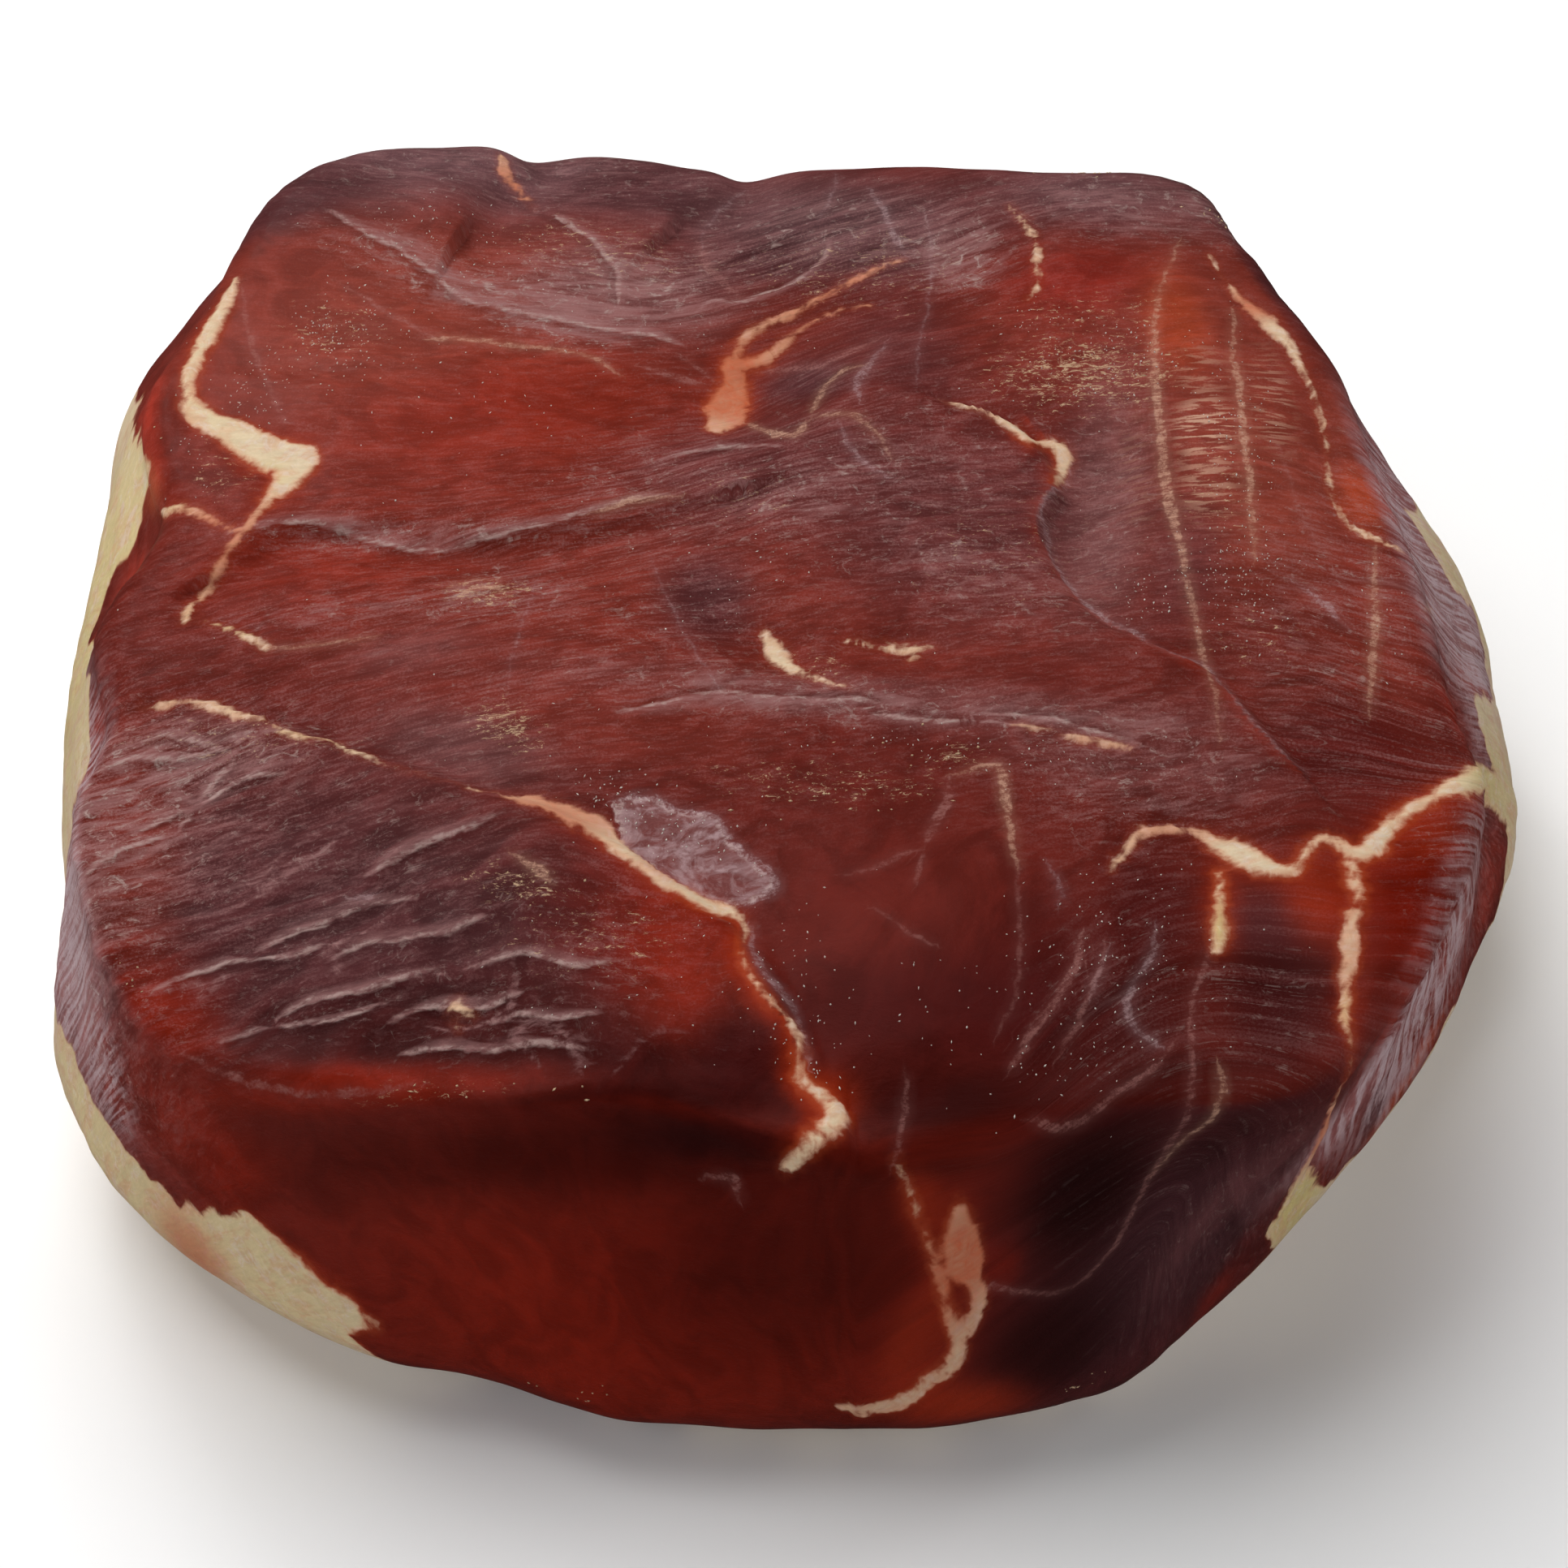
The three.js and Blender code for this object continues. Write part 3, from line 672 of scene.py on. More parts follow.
CAP_EDGE = [
    (-92, -186), (-105, -166), (-107, -160), (-107, -150), (-100, -147), (-103, -140), (-108, -130),
    (-115, -122), (-130, -122), (-140, -117), (-148, -108), (-152, -95), (-160, -75), (-166, -60),
    (-176, -40), (-172, -20), (-160, -16), (-138, -14), (-130, -4), (-136, 10), (-150, 30), (-140, 36),
    (-130, 34), (-124, 45), (-128, 58), (-134, 76), (-138, 96), (-134, 116), (-118, 140), (-90, 158),
    (-50, 166), (0, 168), (50, 164), (96, 150), (126, 122), (142, 90), (134, 62), (126, 48), (140, 44),
    (156, 50), (160, 36), (154, 20), (144, 6), (150, 0), (168, -6), (182, -20), (178, -60), (172, -86),
    (158, -114), (140, -120), (126, -120), (128, -136), (142, -140), (134, -158), (110, -174), (80, -182),
    (40, -186), (0, -190), (-50, -190),
]


def seam_margin(route):
    """Half width at the nearest place of the route, minus the distance to it."""
    fine = spline(route, 4)
    away, place = route_offset(U, V, fine)
    return np.interp(place, np.arange(len(fine)), fine[:, 2]) - np.abs(away)


def loop_margin(loop):
    """Signed distance to a closed line: positive outside. A ray to the right tells in from out."""
    closed = np.array(loop + loop[:1], float)
    away, _ = route_offset(U, V, closed)
    inside = np.zeros(len(U), bool)
    for (ax, ay), (bx, by) in zip(closed[:-1], closed[1:]):
        crosses = (ay > V) != (by > V)
        rise = by - ay if by != ay else 1e-9
        inside ^= crosses & (U < (bx - ax) * (V - ay) / rise + ax)
    return np.where(inside, -np.abs(away), np.abs(away))


seam = np.max([seam_margin(route) for route in SEAMS.values()], axis=0)
cap = loop_margin(CAP_EDGE)
waves = 2.6 * np.sin((U + V) / 9) * np.sin((U - V) / 12)
fringe = 1.5 * np.sin(U / 2.6 + 2 * np.sin(V / 7)) * np.sin(V / 2.3 + 2 * np.sin(U / 6))
cap = cap + waves + fringe
cap = np.where(on_base, 10, cap)
fat = np.maximum(seam, cap)
print("fat covers", round(100 * np.mean(fat > 0)), "percent of the points")

# %% [markdown]
# Where fat is thin, or has met the air, it is yellow, orange or pink. A second set of ovals says how yellow
# and how pink the fat is, and another where the meat beside a seam glows, because light passes through.

# %% Fat hue, glow, bloom with painted sheen, and other marks
YELLOW_FAT = [(-150, 30, 40, 50, 0, .75), (-160, -90, 24, 40, 0, .5), (-125, -135, 30, 22, -30, .45),
              (74, -66, 6, 6, 0, .9), (140, -20, 22, 12, 40, .8), (128, -30, 10, 8, 40, .5),
              (150, 50, 20, 12, 0, .4), (135, -126, 14, 14, 0, 1.0), (-100, 1, 8, 3, -20, .5),
              (95, -86, 5, 6, 0, .7), (160, 0, 16, 14, 0, .5), (-85, -24, 10, 5, -20, .4), (-96, 38, 4, 4, 0, .4)]
PINK_FAT = [(-104, 22, 10, 14, 0, .8), (-150, -128, 14, 12, 0, .8), (36, -128, 10, 14, 0, .8),
            (-11, 64, 10, 12, 0, 1.1), (54, -25, 14, 5, 0, .35), (113, -108, 14, 14, -40, .9),
            (66, -47, 8, 4, 0, .5), (92, 86, 6, 6, 0, .9), (53, 14, 7, 8, 0, -.8), (32, -146, 10, 20, 0, .6),
            (-56, 118, 8, 8, 0, .9), (-18, -55, 8, 4, 0, .5), (20, -171, 14, 4, 0, .4), (10, 88, 24, 9, 38, .8),
            (-40, -42, 12, 6, -20, .8), (-96, -20, 24, 5, -10, .1), (96, -74, 4, 22, 0, .35)]
GLOW = [(-11, -76, 7, 18, 20, .9), (2, -101, 8, 9, 0, 1), (-36, -50, 12, 6, -40, .3), (46, 42, 7, 9, 0, .8),
        (60, 0, 14, 10, -40, .7), (76, -18, 8, 14, 30, .5), (92, -56, 16, 9, 0, .7), (112, -44, 14, 10, 20, .7),
        (-98, 40, 14, 14, 0, .7), (30, -150, 10, 22, 0, .7), (26, -122, 9, 10, 0, .6), (96, -84, 5, 18, 0, .5),
        (-106, -136, 10, 20, 0, .9), (74, -60, 5, 12, 0, .7), (-112, 70, 6, 20, 0, .5), (-10, 66, 12, 14, 0, .6)]
# The top's pale lilac bloom; the strong rows on the side facets are painted sheen.
BLOOM_AND_SHEEN = [(-60, 124, 50, 14, 0, .6), (-32, 90, 24, 14, -10, 1), (-70, 94, 28, 7, -24, .8), (-48, 80, 20, 6, -24, .6),
         (12, 106, 32, 16, 0, .8), (36, 98, 8, 12, 0, .8), (20, 40, 36, 26, 0, .5), (10, -17, 56, 6, -5, .8),
         (64, -34, 24, 15, -10, .6), (-84, -42, 38, 24, 10, .42), (-55, -76, 42, 20, 6, .35), (-104, -28, 22, 12, 10, .6),
         (96, 4, 16, 26, 0, .45), (72, 114, 34, 12, -8, .8), (62, 38, 9, 30, -8, .5), (78, -84, 12, 16, 0, .35),
         (-70, 24, 34, 4, 0, .8), (-140, -58, 36, 36, 0, 1.0), (-150, -20, 18, 22, 0, .6), (-135, -92, 22, 14, 0, .25),
         (138, 30, 30, 40, 0, 1.0), (142, -62, 34, 44, 0, 1.0), (98, -130, 30, 30, -30, .35), (62, -120, 20, 16, 0, .1),
         (-52, 9, 14, 8, 0, .7), (0, 160, 100, 24, 0, .6), (-10, 30, 34, 12, 20, .35), (-30, 40, 20, 8, 30, .5),
         (-80, 4, 24, 5, 4, .6), (-20, 2, 24, 10, 0, .4), (56, -80, 14, 18, 0, .35), (40, 10, 24, 12, -20, .5)]
STREAK = [(-26, -64, 16, 16, 0, .3), (0, 30, 130, 110, 0, .7), (-60, 10, 60, 60, 0, .3), (-130, -60, 40, 60, 0, .9), (140, -40, 50, 90, 0, .9),
          (-20, -142, 96, 40, 0, -.6), (20, -66, 28, 28, 0, -.45), (-52, 53, 26, 14, 12, -.4), (106, -60, 14, 22, 0, -.7),
          (-9, 34, 16, 10, 0, .5), (62, -40, 22, 16, -10, .3)]
# Cream flecks in clusters, and the level creamy hatching of the right band.
FLECKS = [(-54, 9, 9, 5, 0, 1), (58, 67, 20, 10, 0, 1), (-51, -22, 5, 5, 20, .9), (-46, -58, 10, 4, -16, .7),
          (6, -36, 22, 5, -4, .6), (-46, -24, 4, 8, 30, .6), (30, -30, 6, 3, 0, .8), (80, 34, 8, 14, 0, .5),
          (-36, 100, 24, 8, -10, .5), (-86, 78, 12, 10, 0, .5), (86, -2, 10, 8, 0, .4), (-34, -70, 18, 10, 0, .4),
          (-9, 34, 14, 8, 0, .4), (60, 84, 18, 6, 0, .5), (4, -8, 8, 5, 0, .5), (-96, -26, 24, 6, 0, .4),
          (-104, 40, 8, 10, 0, .5), (16, 96, 24, 14, 0, .4), (-60, -100, 16, 2, 2, .5), (40, 20, 20, 20, 0, .3)]
# The painted lilac sheen of the side facets: ovals of reflection that the material streaks along the fibres.
FACET_SHEEN = [(-146, -50, 30, 36, 0, 1), (-150, -16, 22, 22, 0, .8), (-140, -92, 16, 12, 0, .5), (138, 36, 30, 44, 0, 1),
        (142, -70, 34, 42, 0, .75), (126, -96, 12, 30, -24, .6), (128, -12, 18, 9, 44, -.4), (-122, -106, 20, 14, -20, -.3)]
HATCH = [(79.5, 51, 6, 7, 0, 1), (79, 36, 6, 12, 0, .55), (92.5, 58, 5, 16, 0, .5), (80, 66, 6, 8, 0, .45), (66, 40, 4, 20, 0, .25)]


def add_up(rows, flat=1.5):
    """The sum of ovals, each times its strength, held between 0 and 1."""
    total = np.zeros(len(U))
    for *form, strength in rows:
        total += strength * oval(*form, flat)
    return np.clip(total, 0, 1)


BUBBLE_PATCH = [(-29, -39.4), (-23.6, -38.8), (-19, -41.7), (-11.8, -44.1), (-9.5, -48.7), (-5.5, -52.7), (-1.9, -56.7),
                (-1.8, -59.5), (-6.3, -61.7), (-12.5, -60.4), (-19.6, -57.9), (-23.3, -53.4), (-28.7, -47.7)]
LIPS = [("front seam", SEAMS["front seam"], 1.0), ("right rim", [(47, 56), (53, 44), (47.2, 29), (49.3, 20.4), (55, 8.4),
        (63.1, 1.9), (70.5, -6.3), (76.9, -10.2), (83, -23.4), (90, -33)], 0.7)]


def lip_glow(reach=3.6):
    """Light passes through the thin lip of an upper muscle: it fades to the right of the route."""
    total = np.zeros(len(U))
    for _, route, strength in LIPS:
        offset, _ = route_offset(U, V, spline([place[:2] for place in route]))
        total = np.maximum(total, strength * np.exp(-np.abs(offset) / reach) * ease((offset + 0.4) / 0.8))
    return total * (1 - on_wall)


yellow = np.where(on_base, 0.45, add_up(YELLOW_FAT))
pink = add_up(PINK_FAT)
glow = add_up(GLOW)
bloom_and_sheen = add_up(BLOOM_AND_SHEEN)
streak = add_up(STREAK)
fleck = add_up(FLECKS)
hatch = add_up(HATCH)
facet_sheen = add_up(FACET_SHEEN) * on_wall
lip = lip_glow()
bubble = -loop_margin(BUBBLE_PATCH)

# %% [markdown]
# ## Thin lines
# Hair-thin veins and membrane folds are finer than the grid's cells. So a line isn't painted on the points:
# each point keeps its signed distance to the nearest line of a group, which is smooth, and the material
# draws the line from it. A route's points carry the line's half width.

# %% Lines
PALE_LINES = {
    "white run": [(-67.6, 74.8, .5), (-60.8, 74.6, .6), (-54.2, 73.5, .6), (-47.6, 72.6, .6), (-40.9, 71, .5),
                  (-35.9, 68.1, .5), (-32, 64.7, .2)],
    "left foot run": [(-92.7, -4.7, .4), (-87.1, -4.4, .4), (-81, -3.9, .4), (-73.9, -2.8, .3)],
    "swirl": [(-59.2, 7, .3), (-56.8, 9.8, .8), (-53.2, 10.9, .8), (-51, 9.1, .4)],
    "swirl two": [(-61.4, 9.8, .2), (-57.4, 12.3, .6), (-52.3, 12.9, .3)],
    "long stripe": [(78, 102.8, .3), (73.9, 90, .4), (71.5, 76.2, .6), (71, 62.7, .7), (71.1, 49.5, .8), (71.1, 37.9, .9),
                    (71.9, 27.8, .8), (72.9, 17.9, .7), (73.7, 8.2, .5), (74.9, -2.6, .5), (76.3, -14.3, .4),
                    (76.5, -26, .2)],
    "dotted stripe": [(87.3, 83.1, .4), (86.5, 72.1, .5), (86.7, 61.4, .7), (86.5, 49.5, .7), (86.5, 37.9, .6),
                      (86.2, 27.8, .6), (86.1, 16.7, .3)],
    "stripe two": [(108.6, 21, .3), (107.5, 10.6, .6), (106.4, -.2, .7), (104.8, -10.8, .6), (103.4, -20, .3)],
    "amber head": [(30, -34, .2), (34, -32.5, .5), (37.5, -32.3, .6), (38, -35.9, .9), (38.2, -40, .9),
                   (38.9, -44.1, .7), (39.3, -48.7, .5), (39.6, -53.8, .3)],
    "cream short": [(71.3, -96.2, .3), (71.3, -100.6, .5), (70.3, -105.4, .6), (68.6, -110.1, .5), (67.4, -114.9, .3)],
    "fold glint": [(-35.1, 28.1, .3), (-31, 30.2, .7), (-25.8, 32.2, .7), (-20, 33.4, .3)],
    "right mark": [(118, 8, .3), (122, 12, .9), (125, 15, .5)],
    "hollow rim": [(-6.6, 54.7, .6), (-2.1, 50.8, .9), (2.5, 50.2, .9), (5.2, 56.1, .8), (7.1, 62.7, .6),
                   (10.9, 68.1, .5), (14.7, 69.7, .3)],
    "rim arc": [(4.8, 54.7, .4), (8.9, 55.5, .6), (13.5, 54.7, .6), (17.2, 50.2, .4), (19.8, 45, .2)],
    "right seam top": [(30.3, 60.7, .3), (33, 58, .7), (37.6, 56.7, .8), (40.8, 54.5, .8)],
    "yellow crumbs": [(-46, -52, .3), (-42.6, -54.8, 1), (-40, -57.5, .3)],
}
PINK_LINES = {
    "left arc": [(-106.2, 90.3, .3), (-103.8, 78.9, .5), (-101.2, 69.4, .6), (-97.8, 60.8, .5), (-94.6, 53.1, .3)],
    "left net": [(-86.2, 90.3, .3), (-80.2, 85.4, .6), (-74.4, 80.2, .5), (-67.4, 75, .3)],
    "lens tan": [(-16.7, 105, .5), (-15.2, 97.8, .8), (-11.8, 92.2, 1), (-8.4, 87.9, .5)],
    "strand three": [(-4.1, 70.8, .4), (.6, 71.3, .7), (7.2, 71.8, .7), (12.8, 74.2, .6), (18.1, 77.3, .3)],
    "stub line": [(-29.3, 67.4, .3), (-24.6, 66.7, .7), (-19, 65.6, .8), (-14.1, 64.6, .6)],
    "stub line two": [(-19.5, 70.5, .4), (-16.7, 69.1, .6), (-13.9, 66.7, .5)],
    "faint band": [(92, 46.9, .2), (94, 37.9, .4), (95, 29.1, .4), (97.1, 22.8, .3), (101.1, 17.3, .2)],
    "vein": [(28.7, -36.1, .4), (27.9, -40.6, .9), (26.3, -44.6, 1.1), (24.6, -48.7, 1), (23.8, -51.6, .8),
             (23.1, -55, .5), (22.4, -58.4, .2)],
    "vein twig": [(24.1, -50.4, .8), (19.8, -52.4, .5), (15.3, -55.3, .4), (10.5, -56.7, .2)],
    "amber tail": [(39.6, -53.8, .3), (39.6, -61.2, .4), (39.7, -69, .4), (39.3, -76.6, .3), (38.1, -83.1, .3),
                   (35.3, -89.5, .2)],
    "thread": [(15.6, -64.5, .2), (18.7, -67, .3), (21.2, -69.2, .4), (24.4, -72, .3)],
    "olive line": [(50, -69.8, .4), (48.9, -75.5, .7), (46.4, -80.9, .8), (42.7, -86.8, .7), (39.5, -91.1, .7),
                   (37.3, -94.7, .4)],
    "pink rise": [(53.8, -72.3, .3), (52.5, -77.7, .5), (50.2, -82.6, .5), (48.2, -87.9, .5), (45.4, -92.8, .3)],
    "cross thread": [(76, -13, .3), (71, -15.5, .3), (65, -18, .3), (60, -20, .25), (52, -21.5, .15)],
    "pocket lip": [(41.3, -104.6, .6), (45.2, -105.6, .8), (48.8, -104.4, .8), (52.5, -102, .6), (56.2, -99.4, .6),
                   (60.4, -96.2, .5), (63.8, -91.8, .3)],
    "eye edge": [(72.5, -68, .3), (70.8, -73.7, .5), (68.4, -80.8, .5), (66.9, -88.8, .5), (66.8, -95.7, .5),
                 (66, -103.5, .5), (66.8, -112, .6), (66.5, -120, .6), (66.5, -126, .6), (65, -132, .5), (61, -137, .4),
                 (55, -139, .4), (48, -139, .6), (42, -138, .8)],
    "front short": [(20, -97, .3), (19.5, -104, .5), (18, -111, .3)],
    "wall tear": [(-13, -116, .5), (-9, -116, .9), (-8, -120, .5)],
    "crest pink": [(-100, -92, .3), (-90, -97, .6), (-80, -99, .7), (-70, -99.5, .6), (-60, -99, .4)],
}
LILAC_LINES = {
    "right rim": [(54, 49, .2), (54, 44, .5), (52.5, 38, .5), (49, 34, .4), (47.2, 29.1, .5), (49, 25.1, .5),
                  (49.3, 20.4, .5), (52.4, 13.2, .55), (55, 8.4, .6), (58.5, 4.6, .6), (63.1, 1.9, .6),
                  (66.1, -2.8, .6), (70.5, -6.3, .7), (74.8, -6.6, .7), (76.9, -10.2, .5), (79.7, -16.6, .4),
                  (83, -23.4, .4), (88, -31, .3), (91, -32, .2)],
    "bubble edge": [(-29, -39.4, .4), (-23.6, -38.8, .7), (-19, -41.7, .6), (-11.8, -44.1, .7), (-9.5, -48.7, .6),
                    (-5.5, -52.7, .7), (-1.9, -56.7, .8), (-1.8, -59.5, .7), (-6.3, -61.7, .4)],
    "seam edge": [(-6, -66, .3), (-5.4, -70, .5), (-4.5, -75, .7), (-2, -79, .9), (1, -83, .8), (2.5, -88, .5),
                  (4, -94, .4)],
    "lash": [(-24.2, 17.6, .1), (-21.6, 8.4, .15), (-18.3, -.7, .2), (-15.2, -7.6, .25), (-11.5, -15.7, .15)],
    "dotted": [(-45.2, 11.9, .15), (-46.6, 2.8, .25), (-48.1, -4.8, .2), (-49, -12.3, .1)],
    "rim two": [(19.5, 75.5, .3), (16.1, 68.7, .8), (14.1, 64, .9), (14.5, 60, .4)],
    "rim arc two": [(10.8, 52.1, .3), (12.5, 46.9, .6), (16.1, 41.7, .6), (19.7, 39.2, .3)],
    "lens top": [(-16.2, 103.5, .2), (-16.6, 108.6, .2), (-13, 114.4, .3), (-8.2, 120.3, .2)],
    "upright one": [(10.5, 124, .2), (9.4, 117.3, .3), (7.4, 111.5, .2)],
    "upright two": [(17.3, 118.8, .3), (20.1, 112.9, .6), (21.4, 106.4, .6), (23.8, 101.4, .4)],
    "upright three": [(28.4, 112.2, .2), (29.1, 102.8, .3), (28.9, 94.3, .3), (27.6, 83.1, .2), (26, 74.8, .2),
                      (25.4, 66.7, .1)],
    "squiggle": [(45.1, -54.2, .3), (46.3, -57.2, .4), (47, -60.1, .35), (46.7, -62.3, .2)],
    "right one": [(62.6, -67.5, .3), (61.6, -73.2, .5), (58.6, -78.8, .5), (56.7, -83.8, .5), (57.7, -87.8, .6),
                  (60.7, -91, .6)],
    "right two": [(54.1, -72.7, .2), (52.9, -76.8, .4), (51.1, -81.3, .4)],
    "brush": [(93.4, 10.6, .3), (96.6, 7.6, .8), (99, 4.6, .8), (100.8, 1, .4)],
    "white smear": [(-73.1, -61.6, .3), (-71.2, -61.3, .8), (-69.6, -60.4, .3)],
}
# Membrane folds, with painted light: a pale painted highlight fades to the left of each route, a painted shadow
# lies just to its right, and a thin painted highlight runs along the crest. The third number says how far, in
# millimetres, the fold fades to the left of its route.
FOLD_LINES = {
    "back veil": [(-89.8, 108.6, 1), (-82.6, 102.7, 4), (-75.6, 98.5, 6), (-68.5, 91.9, 7), (-61.4, 85.4, 8),
                  (-54.6, 83, 8), (-47.9, 81.4, 7), (-41.2, 79.3, 7), (-33.5, 77.3, 6), (-25.7, 75.7, 4),
                  (-20, 74, 1)],
    "back veil two": [(-44.6, 108.6, 2), (-37.6, 101.9, 4), (-32.8, 93.6, 5), (-32.7, 87, 3)],
    "left fold": [(-103, 22.9, 1), (-95.8, 24.9, 2.4), (-89.6, 25.8, 3.4), (-83.3, 25.2, 4.4), (-76.8, 23.2, 5),
                  (-70.4, 20.9, 5), (-64.1, 20.3, 4.6), (-57.9, 21.2, 4), (-51.7, 22.9, 3.4), (-45.5, 24.6, 3),
                  (-39.3, 26.8, 2), (-33.1, 29.7, 2), (-26.8, 32.1, 1.6), (-20.5, 33.6, .5)],
    "lens ridge": [(8.9, 106.4, .5), (8.5, 101.4, 1.4), (4.5, 95.4, 2), (-.3, 91.2, 2.2), (-5.1, 88.6, 2.2),
                   (-9.8, 86.4, 2), (-14.6, 86.6, 1.4), (-17.2, 83.1, .5)],
    "haze one": [(18.2, -17.9, 1), (11.8, -16.4, 3), (7.2, -17.2, 4), (-2, -16.6, 5), (-12.2, -15.7, 5),
                 (-21.3, -18.5, 4), (-29.5, -20.3, 1)],
    "haze two": [(40.1, -22, 1), (34.6, -21.6, 2), (25.5, -21.5, 3), (16.3, -20.3, 2)],
    "haze three": [(61.9, -26.3, 1), (56.5, -24.5, 2), (48.4, -21.5, 2.4), (40.2, -20.3, 2.4), (32, -20.1, 1)],
    "left 1": [(-114, -27.4, 1), (-108.3, -25, 3), (-102.1, -26.8, 3), (-95.3, -25.5, 3), (-88.9, -24.7, 1)],
    "left 2": [(-119.8, -33.2, 1), (-113.6, -30.9, 3), (-105.8, -30, 3), (-99, -28.1, 3), (-91.7, -26, 1)],
    "left 3": [(-106, -51.1, 1), (-103.2, -45.4, 3), (-100, -37.8, 3), (-95.7, -31.3, 1)],
    "left 4": [(-111.7, -47.9, 1), (-105.8, -44.1, 3), (-99.8, -40.3, 3.5), (-94.3, -35.8, 3), (-88.5, -34.5, 1)],
    "left 5": [(-89, -72.5, 1), (-82.6, -69.1, 3), (-76.1, -66.5, 4), (-70.6, -63.1, 4), (-62.5, -61.6, 1)],
    "left 6": [(-75.9, -74.6, 1), (-70, -71.5, 3), (-64.3, -70.3, 4), (-56.8, -68.9, 4), (-50.8, -65.3, 1)],
    "left 7": [(-84.5, -85.5, 1), (-77.7, -82, 3), (-71.2, -80.8, 3), (-65.7, -79, 3), (-58.3, -76.1, 1)],
    "left 8": [(-65.1, -86.4, 1), (-60.6, -84.1, 2), (-55.5, -82.9, 3), (-49.3, -83.7, 3), (-43.8, -80.8, 1)],
    "left 9": [(-62.8, -93, 1), (-55.5, -91.5, 3), (-48, -92.4, 3), (-40.5, -91.3, 3), (-32.6, -92.7, 1)],
    "left 10": [(-71.1, -56.7, 1), (-66.5, -52.9, 3), (-61.8, -49.8, 4), (-55.2, -46.7, 3), (-50.4, -44.1, 1)],
    "left 11": [(-104.4, -79.6, 1), (-97.2, -76.1, 2), (-90.7, -74.3, 3), (-83.1, -73.7, 3), (-76.7, -71.3, 1)],
    "left 12": [(-92.9, -90.1, 1), (-85.7, -87.2, 2), (-79.2, -86.7, 3), (-72.7, -85.5, 3), (-66.4, -82.6, 1)],
    "left 13": [(-51.6, -76.1, 1), (-47, -74.3, 2), (-41.3, -73.7, 3), (-34.6, -76.1, 3), (-28.9, -74.9, 1)],
    "left 14": [(-48.2, -86.7, 1), (-42.7, -85.5, 2), (-37, -86.7, 3), (-30.5, -85.5, 1)],
    "left 15": [(-119.4, -56.7, 1), (-115, -52.9, 2), (-110.5, -49.8, 3), (-104.9, -47.9, 1)],
    "pillow": [(-26, 42, .2), (-20, 44, 1.2), (-12, 46, 2), (-4, 46.5, 1.2), (2, 46, .2)],
}


LINE_REACH = 2.6


def nearest_line(group):
    """Of the group's nearest route: signed offset in mm, and the width there.

    The width falls to nothing where two routes are equally near, so no edge shows between them.
    """
    best = np.full(len(U), 99.0)
    second = np.full(len(U), 99.0)
    width = np.zeros(len(U))
    for route in group.values():
        fine = spline(route, 4)
        away, place = route_offset(U, V, fine)
        near = np.abs(away) < np.abs(best)
        second = np.where(near, np.abs(best), np.minimum(second, np.abs(away)))
        width = np.where(near, np.interp(place, np.arange(len(fine)), fine[:, 2]), width)
        best = np.where(near, away, best)
    return best, width * ease((second - np.abs(best)) / 2.5)


# %% [markdown]
# ## Relief
# Cut and dried meat isn't smooth: it has lumps as wide as a finger, ridges that follow the fibres, furrows
# beside the seams and wrinkles where it dried most. Smooth random waves are made as a sum of sines in
# seeded directions, which is quick and the same in every run. The base stays flat, because it is pressed.

# %% Relief in the mesh
def rolling(x, y, z, length, seed, waves=28):
    """Smooth noise: a mean of sines in random directions, all of about one wavelength."""
    draw = np.random.default_rng(seed)
    heading = draw.normal(size=(waves, 3))
    heading /= np.linalg.norm(heading, axis=1)[:, None]
    pace = 2 * np.pi / (length * draw.uniform(0.75, 1.5, waves))
    start = draw.uniform(0, 2 * np.pi, waves)
    total = np.zeros_like(x)
    for (a, b, c), k, p in zip(heading, pace, start):
        total += np.sin((a * x + b * y + c * z) * k + p)
    return total / np.sqrt(waves / 2)


def point_normals(points, quads):
    """Mean of the faces' normals at each point, each the cross product of a quad's diagonals."""
    a, b, c, d = (points[quads[:, i]] for i in range(4))
    face = np.cross(c - a, d - b)
    normal = np.zeros_like(points)
    for i in range(4):
        np.add.at(normal, quads[:, i], face)
    return normal / np.maximum(np.linalg.norm(normal, axis=1)[:, None], 1e-9)


WRINKLED = [(-74, -66, 46, 34, 10, 1), (-30, -90, 28, 12, -8, .8), (-104, -30, 16, 14, 0, .6), (10, 108, 28, 15, 0, .8),
            (-64, 92, 34, 12, -24, .4), (-140, -70, 34, 50, 0, .4), (140, -20, 40, 90, 0, .4), (56, -84, 18, 20, 0, .5),
            (92, -6, 16, 32, 0, .5), (62, -38, 20, 16, -10, .5), (30, 28, 24, 28, 0, .6), (-44, -2, 30, 12, 0, .3), (70, 116, 34, 10, 0, .4), (-52, -26, 14, 8, 0, .6)]
RIBBED = [(84, 50, 12, 34, 0, 1), (60, 70, 12, 24, 0, .4)]


fold_side, fold_width = nearest_line(FOLD_LINES)


def wrinkle_crests():
    """From -1/2 in the furrows to 1/2 on the crests of wrinkles, and 0 where the meat isn't wrinkled.

    A crest is where smooth noise crosses zero: 1 minus its size. The noise is read along and across the
    fibres, after both are bent by slower noise, so that crests wander, fork and end.
    """
    bent_along = ALONG / 4.5 + 0.5 * rolling(U, V, 0 * U, 34, 41)
    bent_across = ACROSS + 1.0 * rolling(U, V, 0 * U, 20, 42)
    ridge = np.clip(1 - 1.2 * np.abs(rolling(bent_along, bent_across, 0 * U, 7, 4, 18)), 0, 1)
    return (ridge - 0.5) * add_up(WRINKLED)


# The crests also carry painted light: the material darkens the furrows as painted shade and pales the crests as painted
# highlights.
crest = wrinkle_crests()


